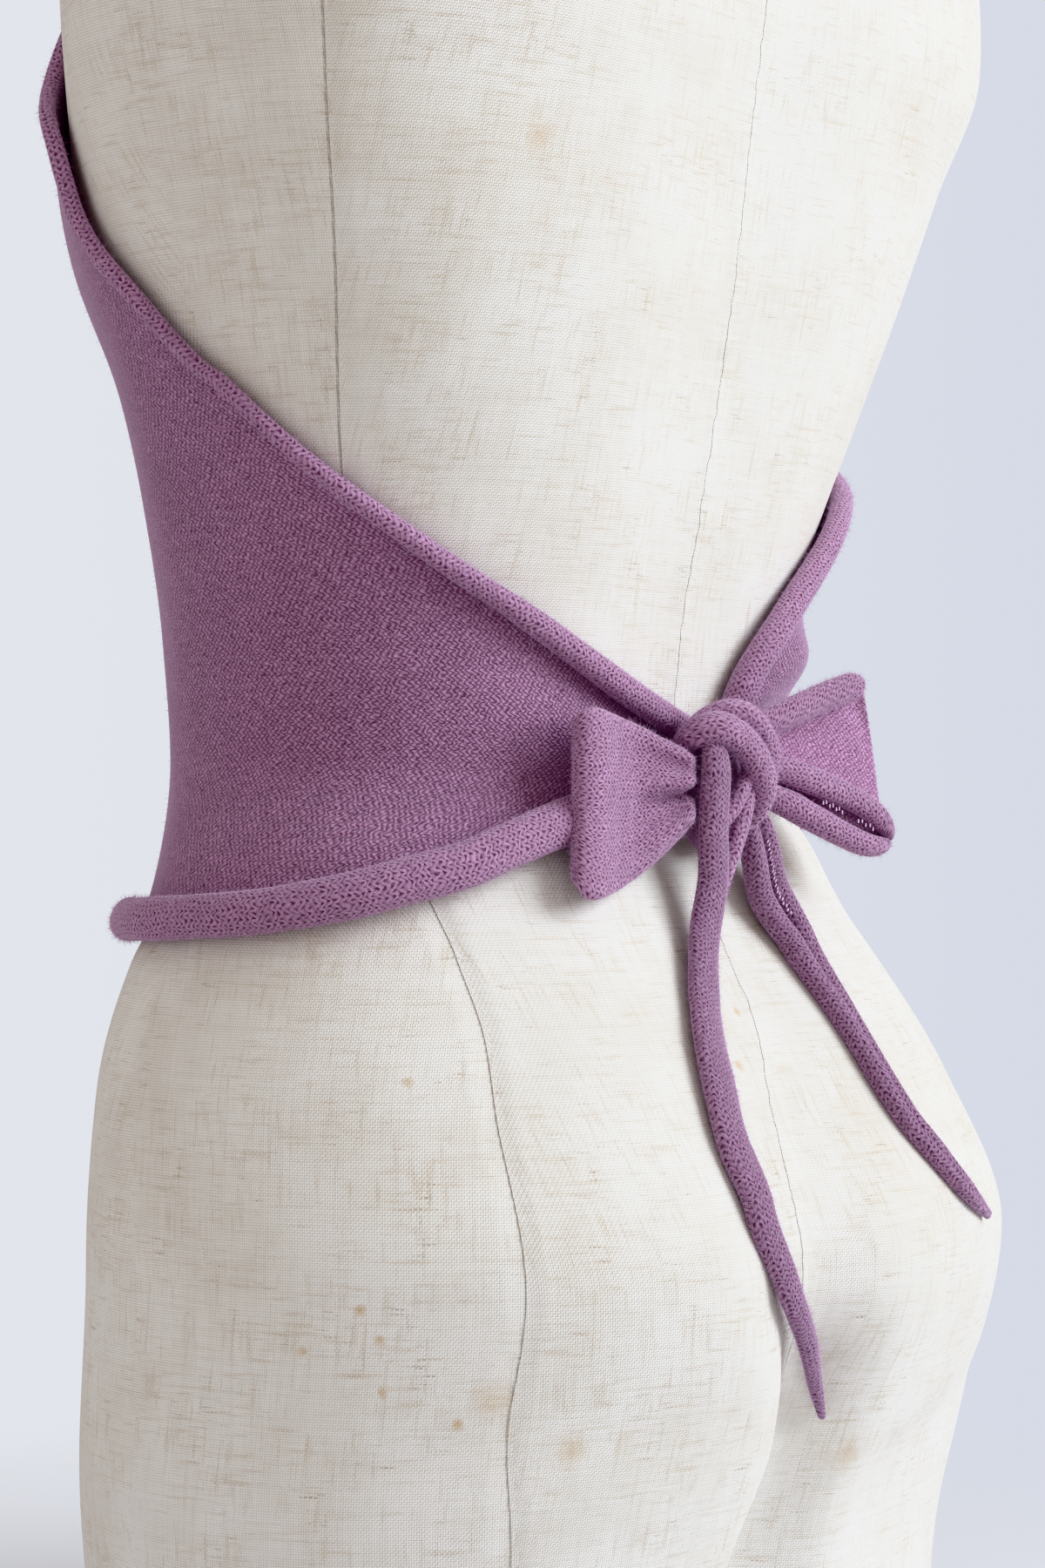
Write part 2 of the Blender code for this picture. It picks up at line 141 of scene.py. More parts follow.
def darkened(tree, colour, shade):
    """A colour multiplied by a number."""
    grey = tree.nodes.new("ShaderNodeCombineColor")
    for socket in grey.inputs:
        tree.links.new(shade, socket)
    return mix_colour(tree, 1.0, colour, grey.outputs[0], "MULTIPLY")


def bumped(tree, height, strength, distance, normal=None):
    """Normal of a surface that a height raises, on top of another normal."""
    bump = tree.nodes.new("ShaderNodeBump")
    bump.inputs["Strength"].default_value = strength
    bump.inputs["Distance"].default_value = distance
    tree.links.new(height, bump.inputs["Height"])
    if normal is not None:
        tree.links.new(normal, bump.inputs["Normal"])
    return bump.outputs["Normal"]


def remap(tree, value, low, high, to_low=0.0, to_high=1.0, soft=False):
    """Number taken from one range to another, and held inside it."""
    node = tree.nodes.new("ShaderNodeMapRange")
    node.interpolation_type = "SMOOTHSTEP" if soft else "LINEAR"
    for slot, number in zip(("From Min", "From Max", "To Min", "To Max"), (low, high, to_low, to_high)):
        node.inputs[slot].default_value = number
    tree.links.new(value, node.inputs["Value"])
    return node.outputs["Result"]


def noise(tree, vector, scale, detail=2.0, roughness=0.5):
    node = tree.nodes.new("ShaderNodeTexNoise")
    node.inputs["Scale"].default_value = scale
    node.inputs["Detail"].default_value = detail
    node.inputs["Roughness"].default_value = roughness
    tree.links.new(vector, node.inputs["Vector"])
    return node


def stretched(tree, vector, scale):
    """A place with each axis scaled by its own amount."""
    node = tree.nodes.new("ShaderNodeVectorMath")
    node.operation = "MULTIPLY"
    node.inputs[1].default_value = scale
    tree.links.new(vector, node.inputs[0])
    return node.outputs[0]


def new_group(name, inputs, outputs):
    """Empty node group with named number inputs and outputs."""
    group = bpy.data.node_groups.new(name, "ShaderNodeTree")
    for label, kind, value in inputs:
        made = group.interface.new_socket(label, in_out="INPUT", socket_type=kind)
        if value is not None:
            made.default_value = value
    for label, kind in outputs:
        group.interface.new_socket(label, in_out="OUTPUT", socket_type=kind)
    return group, group.nodes.new("NodeGroupInput"), group.nodes.new("NodeGroupOutput")


# %% [markdown]
# ## Light and room
#
# Wool looks soft only in soft light. One big panel, high on the right, shapes
# the body and leaves its left side in a quiet half shade. The backdrop is the
# world itself, a little whiter on the left. What it throws on the form is dimmer
# and warmer than what it shows, or it would wash the knit out. A neutral view
# keeps the pale linen from clipping and the mauve as mixed. The floor fades out
# into the backdrop.

# %% Lights, world and floor
scene.view_settings.view_transform = "Khronos PBR Neutral"
BACKDROP_LEFT = (0.835, 0.860, 0.915)
BACKDROP_RIGHT = (0.725, 0.755, 0.850)
BACKDROP_HALF = 0.13
AMBIENT = (0.60, 0.575, 0.555)
WINDOW_COLOUR = (0.86, 0.94, 1.0)
FILL_COLOUR = (1.0, 0.93, 0.86)
FLOOR_COLOUR = (0.74, 0.75, 0.80)
# the floor is whole out to the first radius and gone at the second
FLOOR_NEAR = 0.22
FLOOR_FAR = 0.60
UP = Vector((0.0, 0.0, 1.0))


def soft_panel(name, right, near, up, size, watts, colour):
    """Square soft light, placed as the camera sees it and turned to what it looks at."""
    data = bpy.data.lights.new(name, "AREA")
    data.shape = "SQUARE"
    data.size = size
    data.energy = watts
    data.color = colour
    made = bpy.data.objects.new(name, data)
    scene.collection.objects.link(made)
    away = to_right * right + to_camera * near + UP * up
    made.location = CAMERA_AIM + away
    made.rotation_euler = away.to_track_quat("Z", "Y").to_euler()


soft_panel("window", 1.80, 0.42, 0.88, 1.4, 47.0, WINDOW_COLOUR)
soft_panel("fill", -1.5, 1.3, 0.2, 1.6, 3.0, FILL_COLOUR)

world = bpy.data.worlds.new("pale_room")
world.use_nodes = True
tree = world.node_tree
backdrop = tree.nodes["Background"]
looking = tree.nodes.new("ShaderNodeVectorMath")
looking.operation = "DOT_PRODUCT"
looking.inputs[1].default_value = to_right
tree.links.new(tree.nodes.new("ShaderNodeTexCoord").outputs["Generated"], looking.inputs[0])
sideways = remap(tree, looking.outputs["Value"], -BACKDROP_HALF, BACKDROP_HALF)
seen = tree.nodes.new("ShaderNodeLightPath").outputs["Is Camera Ray"]
paper = mix_colour(tree, sideways, BACKDROP_LEFT, BACKDROP_RIGHT)
tree.links.new(mix_colour(tree, seen, AMBIENT, paper), backdrop.inputs["Color"])
scene.world = world

bm = bmesh.new()
bmesh.ops.create_circle(bm, cap_ends=True, segments=64, radius=FLOOR_FAR)
floor_mesh = bpy.data.meshes.new("floor")
bm.to_mesh(floor_mesh)
bm.free()
floor = bpy.data.objects.new("floor", floor_mesh)
scene.collection.objects.link(floor)
floor_paint = bpy.data.materials.new("floor_paint")
floor_paint.use_nodes = True
tree = floor_paint.node_tree
shader = tree.nodes["Principled BSDF"]
shader.inputs["Base Color"].default_value = (*FLOOR_COLOUR, 1.0)
shader.inputs["Roughness"].default_value = 0.8
reach = tree.nodes.new("ShaderNodeVectorMath")
reach.operation = "LENGTH"
tree.links.new(tree.nodes.new("ShaderNodeTexCoord").outputs["Object"], reach.inputs[0])
fade = remap(tree, reach.outputs["Value"], FLOOR_NEAR, FLOOR_FAR, 1.0, 0.0)
tree.links.new(fade, shader.inputs["Alpha"])
floor.data.materials.append(floor_paint)

# %% [markdown]
# ## The form as numbers
#
# A torso changes width and depth as it rises, so each height has one row in a
# table: half width, depth behind and in front, where its middle lies and how
# square it is. A smooth curve runs through each column without overshooting,
# and a squared-off ellipse turns a row into a ring. The cloth is laid on the
# same function, moved out a little, so it can never cut into the form.

# %% Table and ring function
# height, half width, depth behind, depth ahead, middle and squareness
FORM_ROWS = np.array([
    (0, 158, 104, 98, 2, 2.2),
    (55, 165, 108, 101, 2, 2.2),
    (105, 171, 122, 104, 4, 2.15),
    (158, 171, 134, 107, 7, 2.1),
    (205, 162, 117, 106, 3, 2.1),
    (245, 142, 95, 94, -3, 2.2),
    (258, 134, 88.5, 87, -5, 2.2),
    (275, 126, 82, 83, -7, 2.2),
    (308, 111, 76, 80, -15, 2.2),
    (345, 115, 79, 81, -14, 2.2),
    (385, 125, 83, 84, -9, 2.3),
    (420, 138, 86, 83, -4, 2.4),
    (460, 154, 91, 89, 0, 2.5),
    (500, 171, 96, 85, 2, 2.6),
    (540, 186, 101, 71, 4, 2.8),
    (585, 188, 95, 67, 6, 2.8),
    (625, 182, 86, 65, 8, 2.7),
    (650, 150, 76, 62, 8, 2.5),
    (672, 96, 66, 56, 8, 2.2),
    (692, 64, 58, 52, 6, 2.0),
    (740, 57, 54, 52, 2, 2.0),
])
FORM_TOP = FORM_ROWS[-1][0]
# height, depth of the valley down the back, where it lies and its half width
VALLEY_ROWS = np.array([
    (0, 28, 22, 13),
    (40, 28, 18, 13),
    (70, 25, 14, 13),
    (102, 22, 11, 13),
    (120, 21, 13, 14),
    (139, 17, 21, 17),
    (150, 16, 25, 19),
    (168, 15, 25, 21),
    (201, 12, 19, 25),
    (221, 10, 14, 27),
    (241, 9, 4, 28),
    (257, 8, -3, 28),
    (275, 5, 0, 28),
    (308, 3, 0, 28),
    (345, 4, 0, 28),
    (420, 6, 0, 28),
    (480, 7, 2, 28),
    (585, 5, 6, 28),
    (672, 1, 4, 28),
    (740, 0, 0, 28),
])
# the crease under the right seat: height in the middle, its rise outward, its depth and half width
CREASE_Z = 84.0
CREASE_RISE = 0.17
CREASE_DEPTH = 5.0
CREASE_SPREAD = 9.0
BUST_X = 78.0
BUST_Z = 497.0
BUST_OUT = 28.0
BUST_SPREAD = 37.0
BUST_RISE = 60.0
BUST_DROP = 48.0
BUST_FADE = 3.0


def between(xs, ys, at):
    """Smooth curve through the points of a table, with no overshoot."""
    xs = np.asarray(xs, float)
    ys = np.asarray(ys, float)
    steps = np.diff(xs)
    rises = np.diff(ys) / steps
    before, after = rises[:-1], rises[1:]
    near = 2 * steps[1:] + steps[:-1]
    far = steps[1:] + 2 * steps[:-1]
    turning = before * after <= 0
    safe_before = np.where(turning, 1.0, before)
    safe_after = np.where(turning, 1.0, after)
    middle = np.where(turning, 0.0, (near + far) / (near / safe_before + far / safe_after))
    slopes = np.concatenate([rises[:1], middle, rises[-1:]])
    at = np.clip(at, xs[0], xs[-1])
    k = np.clip(np.searchsorted(xs, at) - 1, 0, len(steps) - 1)
    h = steps[k]
    s = (at - xs[k]) / h
    start = (2 * s**3 - 3 * s**2 + 1) * ys[k] + (s**3 - 2 * s**2 + s) * h * slopes[k]
    end = (3 * s**2 - 2 * s**3) * ys[k + 1] + (s**3 - s**2) * h * slopes[k + 1]
    return start + end


HEIGHTS = np.arange(0.0, FORM_TOP + 1)
FORM_CURVES = [between(FORM_ROWS[:, 0], FORM_ROWS[:, c], HEIGHTS) for c in range(1, 6)]
VALLEY_CURVES = [between(VALLEY_ROWS[:, 0], VALLEY_ROWS[:, c], HEIGHTS) for c in range(1, 4)]


def unit(vectors):
    return vectors / np.linalg.norm(vectors, axis=-1, keepdims=True)


def valley(x, z):
    """How deep the back is hollowed at a place across and up it."""
    depth, centre, spread = (np.interp(z, HEIGHTS, c) for c in VALLEY_CURVES)
    hollow = depth * np.exp(-(((x - centre) / spread) ** 2) / 2)
    line = CREASE_Z + CREASE_RISE * np.maximum(0.0, -x)
    reach = np.clip((-x - 8) / 20, 0, 1) * np.clip((140 + x) / 60, 0, 1)
    below = np.where(z < line, 2.2, 1.0)
    return hollow + CREASE_DEPTH * reach * np.exp(-(((z - line) / (CREASE_SPREAD * below)) ** 2) / 2)


def form_point(turns, z, bridged=False):
    """Points on the form, in millimetres, at turns in degrees and heights."""
    turns, z = np.broadcast_arrays(np.asarray(turns, float), np.asarray(z, float))
    half, behind, ahead, centre, square = (np.interp(z, HEIGHTS, c) for c in FORM_CURVES)
    s = np.sin(np.radians(turns))
    c = -np.cos(np.radians(turns))
    x = half * np.sign(s) * np.abs(s) ** (2 / square)
    y = centre + np.where(c > 0, behind, ahead) * np.sign(c) * np.abs(c) ** (2 / square)
    y_back = y - valley(x, z)
    reach = np.where(z > BUST_Z, BUST_RISE, BUST_DROP)
    height = np.exp(-(((z - BUST_Z) / reach) ** 2) / 2)
    span = np.exp(-(((np.abs(x) - BUST_X) / BUST_SPREAD) ** 2) / 2)
    if bridged:
        span = np.where(np.abs(x) < BUST_X, 1.0, span)
    y_front = y - BUST_OUT * span * height * np.minimum(1.0, -c * BUST_FADE)
    return np.stack([x, np.where(c > 0, y_back, y_front), z], axis=-1)


def form_normal(turns, z, bridged=False):
    """Outward directions of the form's surface."""
    across = form_point(turns + 0.6, z, bridged) - form_point(turns - 0.6, z, bridged)
    up = form_point(turns, z + 2.0, bridged) - form_point(turns, z - 2.0, bridged)
    return unit(np.cross(across, up))


print("waist", form_point(90.0, 308.0).round(1), "hip", form_point(90.0, 158.0).round(1))

# %% [markdown]
# ## One way to make every sheet
#
# A sheet of cloth, a rolled cord and the form's cover are all a grid that has
# been bent. A bmesh grid is made flat, and each vertex is then moved to its
# place in an array of points. The faces keep a map in real metres, so a knit
# pattern on it has the same stitch size everywhere. Sculpting would be freer,
# but the numbers here can be read and changed.

# %% Grid helper
# the points of each sheet, kept for the loose fibres
GRIDS = {}


def bent_grid(name, points, maps, region=None, values=(), weld=False, gaps=False):
    """Object from a grid bent to points[row, column], in millimetres.

    maps holds arrays of UV places in millimetres, and region says which of
    them each face reads. values are further numbers kept on the vertices.
    gaps takes every other row of faces away.
    """
    GRIDS[name] = points
    rows, columns = points.shape[:2]
    bm = bmesh.new()
    bmesh.ops.create_grid(bm, x_segments=rows - 1, y_segments=columns - 1, size=1.0)
    layers = [bm.verts.layers.float.new(label) for label, _ in values]
    place = {}
    for vert in bm.verts:
        i = round((vert.co.x + 1) / 2 * (rows - 1))
        j = round((vert.co.y + 1) / 2 * (columns - 1))
        place[vert] = (i, j)
        vert.co = points[i, j] * MM
        for layer, (_, numbers) in zip(layers, values):
            vert[layer] = numbers[i, j]
    spare = []
    uv = bm.loops.layers.uv.new("cloth")
    for face in bm.faces:
        corner = [place[loop.vert] for loop in face.loops]
        i = min(c[0] for c in corner)
        j = min(c[1] for c in corner)
        chosen = maps[0] if region is None else maps[region[i, j]]
        for loop, (a, b) in zip(face.loops, corner):
            loop[uv].uv = chosen[a, b] * MM
        face.smooth = True
        if gaps and i % 2:
            spare.append(face)
    if gaps:
        bmesh.ops.delete(bm, geom=spare, context="FACES")
    if weld:
        bmesh.ops.remove_doubles(bm, verts=bm.verts, dist=2e-6)
    mesh = bpy.data.meshes.new(name)
    bm.to_mesh(mesh)
    bm.free()
    made = bpy.data.objects.new(name, mesh)
    scene.collection.objects.link(made)
    return made


def face_away(made):
    """Turns a closed piece's faces outward."""
    bm = bmesh.new()
    bm.from_mesh(made.data)
    bmesh.ops.recalc_face_normals(bm, faces=bm.faces)
    bm.to_mesh(made.data)
    bm.free()


def give_wall(made, thickness):
    """Gives a sheet its thickness, with its second material on the inner side."""
    wall = made.modifiers.new("wall", "SOLIDIFY")
    wall.thickness = thickness * MM
    wall.offset = 0.0
    wall.material_offset = 1
    wall.material_offset_rim = 1


def sheet_area(made):
    return sum(p.area for p in made.data.polygons)


def running(points, axis):
    """Distance travelled along one axis of an array of points."""
    steps = np.linalg.norm(np.diff(points, axis=axis), axis=-1)
    total = np.cumsum(steps, axis=axis)
    start = np.zeros_like(np.take(total, [0], axis=axis))
    return np.concatenate([start, total], axis=axis)


# %% [markdown]
# ## Knitted wool
#
# Each stitch is a loop pulled through the one before. Its smooth side shows
# two legs that lean together in a V, in columns called wales. Its purl side
# shows only the tops and feet of the loops, as wavy bars. Both are waves: the
# strands follow a cosine along the wale, bent into chevrons on the smooth side
# and into a zigzag on the purl side. Warping the places a little first keeps
# the stitches from looking printed. Modelling every loop would take millions
# of faces, and at this size of stitch a bump looks the same.

# %% Stitch group
WALE = 0.0025
PURL_WALE = 0.0021
COURSE = 0.0018


def build_stitches():
    group, entry, leave = new_group(
        "knit_stitches",
        [
            ("Place", "NodeSocketVector", None),
            ("Wale", "NodeSocketFloat", WALE),
            ("Course", "NodeSocketFloat", COURSE),
            ("Purl", "NodeSocketFloat", 0.0),
            ("Waver", "NodeSocketFloat", 0.0003),
        ],
        [("Height", "NodeSocketFloat"), ("Tone", "NodeSocketFloat")],
    )
    place = entry.outputs["Place"]
    moved = place
    for scale, share in ((150.0, 6.0), (620.0, 3.2)):
        wander = noise(group, place, scale, 1.0)
        shift = group.nodes.new("ShaderNodeVectorMath")
        shift.operation = "SUBTRACT"
        shift.inputs[1].default_value = (0.5, 0.5, 0.5)
        group.links.new(wander.outputs["Color"], shift.inputs[0])
        scaled = group.nodes.new("ShaderNodeVectorMath")
        scaled.operation = "SCALE"
        group.links.new(shift.outputs[0], scaled.inputs[0])
        group.links.new(times(group, entry.outputs["Waver"], share), scaled.inputs["Scale"])
        added = group.nodes.new("ShaderNodeVectorMath")
        added.operation = "ADD"
        group.links.new(moved, added.inputs[0])
        group.links.new(scaled.outputs[0], added.inputs[1])
        moved = added.outputs[0]
    parts = group.nodes.new("ShaderNodeSeparateXYZ")
    group.links.new(moved, parts.inputs[0])
    along = calc(group, "DIVIDE", parts.outputs["X"], entry.outputs["Course"])
    across = calc(group, "DIVIDE", parts.outputs["Y"], entry.outputs["Wale"])

    # smooth side: two legs lean together in each wale, and slits part them, low places that the wool
    # colour paints dark as shade
    cell = group.nodes.new("ShaderNodeCombineXYZ")
    group.links.new(calc(group, "FLOOR", along), cell.inputs[0])
    group.links.new(calc(group, "FLOOR", across), cell.inputs[1])
    random = group.nodes.new("ShaderNodeTexWhiteNoise")
    random.noise_dimensions = "2D"
    group.links.new(cell.outputs[0], random.inputs["Vector"])
    group.links.new(random.outputs["Value"], leave.inputs["Tone"])
    column = minus(group, calc(group, "FRACT", across), 0.5)
    leg = times(group, calc(group, "ABSOLUTE", column), 2.0)
    lean = minus(group, along, times(group, leg, 0.9))
    strand = calc(group, "COSINE", times(group, lean, math.tau))
    beat = calc(group, "COSINE", times(group, minus(group, lean, 0.5), math.tau))
    slits = []
    for start, reach, depth in ((0.0, 0.42, 0.54), (1.0, 0.36, 0.42)):
        apart = calc(group, "ABSOLUTE", minus(group, leg, start))
        near = remap(group, apart, 0.0, reach, 1.0, 0.0, True)
        slits.append(times(group, near, remap(group, beat, -0.35, 0.75, 0.08 * depth, depth, True)))
    uneven = plus(group, times(group, random.outputs["Value"], 0.8), 0.55)
    slit = times(group, calc(group, "MAXIMUM", slits[0], slits[1]), uneven)
    smooth_side = plus(group, times(group, strand, 0.16), 0.62)
    smooth_side = minus(group, smooth_side, slit)

    # purl side: wavy bars across the wales, thick where a loop turns back, and so painted pale there as
    # a highlight
    swing = calc(group, "SINE", times(group, across, math.tau))
    bend = plus(group, along, times(group, swing, 0.36))
    bar = calc(group, "COSINE", times(group, bend, math.tau))
    bar = plus(group, times(group, bar, 0.5), 0.5)
    crest = calc(group, "ABSOLUTE", swing)
    purl_side = times(group, bar, plus(group, times(group, crest, 0.34), 0.34))
    purl_side = plus(group, purl_side, 0.20)

    height = mix_number(group, entry.outputs["Purl"], smooth_side, purl_side)
    fine = noise(group, stretched(group, place, (1100.0, 3200.0, 1.0)), 1.0, 2.0, 0.6)
    tufts = noise(group, place, 620.0, 2.0, 0.5)
    fibre = times(group, minus(group, fine.outputs["Fac"], 0.5), 0.55)
    tuft = times(group, minus(group, tufts.outputs["Fac"], 0.5), 0.50)
    soft = plus(group, height, plus(group, fibre, tuft))
    group.links.new(soft, leave.inputs["Height"])
    return group


stitches = build_stitches()
print("stitch group has", len(stitches.nodes), "nodes")

# %% [markdown]
# ## Wool colour
#
# The yarn is a soft mauve. Deep between the strands it is painted a dark plum,
# painted shade, and on top of them a paler lilac, a painted highlight, and broad
# faint patches keep a large area alive. Sheen on the shader stands for the fluff
# that catches light at the edges, and the colour is also painted paler lilac
# where the surface turns edge-on, a painted rim sheen.

# %% Wool materials
# the deepest colour is painted shade between the strands, the lightest a painted highlight on their
# tops
WOOL_GAP_SHADE = (0.125, 0.050, 0.098)
WOOL_MIDDLE = (0.375, 0.195, 0.325)
WOOL_TOP_HIGHLIGHT = (0.600, 0.375, 0.570)
# the loose fibres' own colour, also mixed in at the outline as a painted rim sheen
WOOL_FLUFF_AND_RIM_SHEEN = (0.660, 0.460, 0.660)
SHEEN_TINT = (0.88, 0.70, 0.92)
STITCH_RELIEF = 0.0007
STITCH_WAVER = 0.00042


def wool(name, purl, strength=1.0, light=1.0):
    """Knitted wool that reads the cloth's own map. purl is 1 for the bumpy side."""
    made = bpy.data.materials.new(name)
    made.use_nodes = True
    tree = made.node_tree
    shader = tree.nodes["Principled BSDF"]
    cloth = tree.nodes.new("ShaderNodeUVMap")
    cloth.uv_map = "cloth"
    knit = tree.nodes.new("ShaderNodeGroup")
    knit.node_tree = stitches
    knit.inputs["Purl"].default_value = purl
    knit.inputs["Wale"].default_value = PURL_WALE if purl else WALE
    knit.inputs["Waver"].default_value = STITCH_WAVER
    tree.links.new(cloth.outputs["UV"], knit.inputs["Place"])
    where = tree.nodes.new("ShaderNodeTexCoord").outputs["Object"]
    patches = noise(tree, where, 22.0, 3.0).outputs["Fac"]
    # low places of the knit are painted dark as shade, and high ones pale as a highlight
    low = mix_colour(tree, remap(tree, knit.outputs["Height"], 0.08, 0.42), WOOL_GAP_SHADE, WOOL_MIDDLE)
    colour = mix_colour(tree, remap(tree, knit.outputs["Height"], 0.42, 0.98), low, WOOL_TOP_HIGHLIGHT)
    tone = plus(tree, times(tree, knit.outputs["Tone"], 0.16), 0.90)
    broad = plus(tree, times(tree, patches, 0.30 * light), 0.85 * light)
    colour = darkened(tree, colour, times(tree, tone, broad))
    # painted rim sheen: the colour turns paler lilac where the surface is seen edge-on
    edge = tree.nodes.new("ShaderNodeLayerWeight")
    edge.inputs["Blend"].default_value = 0.35
    fluff_and_sheen = remap(tree, edge.outputs["Facing"], 0.40, 1.0, 0.0, 0.62, True)
    colour = mix_colour(tree, fluff_and_sheen, colour, WOOL_FLUFF_AND_RIM_SHEEN)
    tree.links.new(colour, shader.inputs["Base Color"])
    raised = bumped(tree, knit.outputs["Height"], 0.8 * strength, STITCH_RELIEF)
    tree.links.new(raised, shader.inputs["Normal"])
    shader.inputs["Roughness"].default_value = 0.92
    shader.inputs["Specular IOR Level"].default_value = 0.15
    shader.inputs["Sheen Weight"].default_value = 0.45
    shader.inputs["Sheen Roughness"].default_value = 0.45
    shader.inputs["Sheen Tint"].default_value = (*SHEEN_TINT, 1.0)
    return made


purl_wool = wool("purl_wool", 1.0)
smooth_wool = wool("smooth_wool", 0.0, light=0.99)
# the ties' smooth wool is a darker copy, painted shade
tie_wool_painted_shade = wool("tie_wool_painted_shade", 0.0, light=0.76)
# the right loop's inside is a paler copy of the purl wool, painted light, with half its relief
inner_wool_painted_light = wool("inner_wool_painted_light", 1.0, 0.5, 1.3)

# %% [markdown]
# ## Linen cover
#
# The form is covered in unbleached linen. Its threads differ in thickness, so
# the weave shows faint streaks both ways. Bits of husk spun into a thread show
# as short dashes, dotted where that thread dives under the next, and age has
# left a few rusty spots. Seams are fine grooves with painted shade along them,
# and only the middle one puckers.

# %% Linen material
LINEN_PALE = (0.86, 0.835, 0.805)
LINEN_WARM = (0.755, 0.71, 0.65)
LINEN_SLUB = (0.60, 0.49, 0.37)
# the husk flecks' colour, also used for the painted shade along the seams
LINEN_FLECK_AND_SEAM_SHADE = (0.36, 0.26, 0.17)
LINEN_STAIN = (0.62, 0.44, 0.25)
THREAD = 0.00074
THREAD_RELIEF = 0.00022
SEAM_RELIEF = 0.0007
WEAVE_RESULTS = ("Height", "Grain", "Streak", "Fleck", "Slub")
SMALL_SPOT = 1.2
BROAD_SPOT = 0.6
# turn, height and radius of the rusty spots
SPOTS = (
    (114.5, 154, 3.2),
    (117.0, 146, 2.6),
    (108.0, 142, 2.4),
    (118.0, 131, 2.6),
    (127.5, 122, 3.4),
    (122.5, 216, 2.6),
    (176.0, 231, 3.0),
    (171.5, 216, 3.6),
    (141.5, 113, 9.0),
    (183.0, 96, 10.0),
    (131.0, 128, 11.0),
    (148.0, 485, 9.0),
)


def build_weave():
    group, entry, leave = new_group(
        "linen_weave",
        [("Place", "NodeSocketVector", None), ("Thread", "NodeSocketFloat", THREAD)],
        [(label, "NodeSocketFloat") for label in WEAVE_RESULTS],
    )
    place = entry.outputs["Place"]
    parts = group.nodes.new("ShaderNodeSeparateXYZ")
    group.links.new(place, parts.inputs[0])
    across, upward = (
        times(group, calc(group, "DIVIDE", parts.outputs[axis], entry.outputs["Thread"]), math.pi)
        for axis in ("X", "Y")
    )
    sine_across = calc(group, "SINE", across)
    sine_upward = calc(group, "SINE", upward)
    over = calc(group, "GREATER_THAN", times(group, sine_across, sine_upward), 0.0)
    weft = calc(group, "ABSOLUTE", sine_upward)
    warp = calc(group, "ABSOLUTE", sine_across)
    grain = mix_number(group, over, warp, times(group, weft, 1.15))

    lying = noise(group, stretched(group, place, (16.0, 700.0, 1.0)), 1.0, 3.0, 0.6).outputs["Fac"]
    standing = noise(group, stretched(group, place, (700.0, 18.0, 1.0)), 1.0, 3.0, 0.6).outputs["Fac"]
    streak = plus(group, times(group, lying, 0.5), times(group, standing, 0.5))

    crowd = remap(group, noise(group, place, 38.0, 3.0).outputs["Fac"], 0.35, 0.65, -0.05, 0.05)
    bold = remap(group, noise(group, place, 75.0, 1.0).outputs["Fac"], 0.40, 0.68, 0.20, 1.0)
    under = minus(group, 1.0, over)
    flecks = []
    slubs = []
    lying_way = ((110.0, 1500.0, 1.0), (66.0, 630.0, 1.0), over, 1.0)
    standing_way = ((1500.0, 110.0, 1.0), (630.0, 66.0, 1.0), under, 0.6)
    for dash_scale, lump_scale, seen, share in (lying_way, standing_way):
        dashes = noise(group, stretched(group, place, dash_scale), 1.0, 1.0).outputs["Fac"]
        dash = remap(group, plus(group, dashes, crowd), 0.66, 0.74, 0.0, share)
        flecks.append(times(group, dash, plus(group, times(group, seen, 0.75), 0.25)))
        lump = noise(group, stretched(group, place, lump_scale), 1.0, 2.0).outputs["Fac"]
        lump = remap(group, plus(group, lump, crowd), 0.56, 0.74)
        slubs.append(times(group, lump, plus(group, times(group, seen, 0.6), 0.4)))
    fleck = times(group, calc(group, "MAXIMUM", flecks[0], flecks[1]), bold)
    slub = calc(group, "MAXIMUM", slubs[0], slubs[1])
    thick = plus(group, times(group, grain, 0.8), times(group, streak, 0.35))
    for label, value in zip(WEAVE_RESULTS, (thick, grain, streak, fleck, slub)):
        group.links.new(value, leave.inputs[label])
    return group


weave = build_weave()


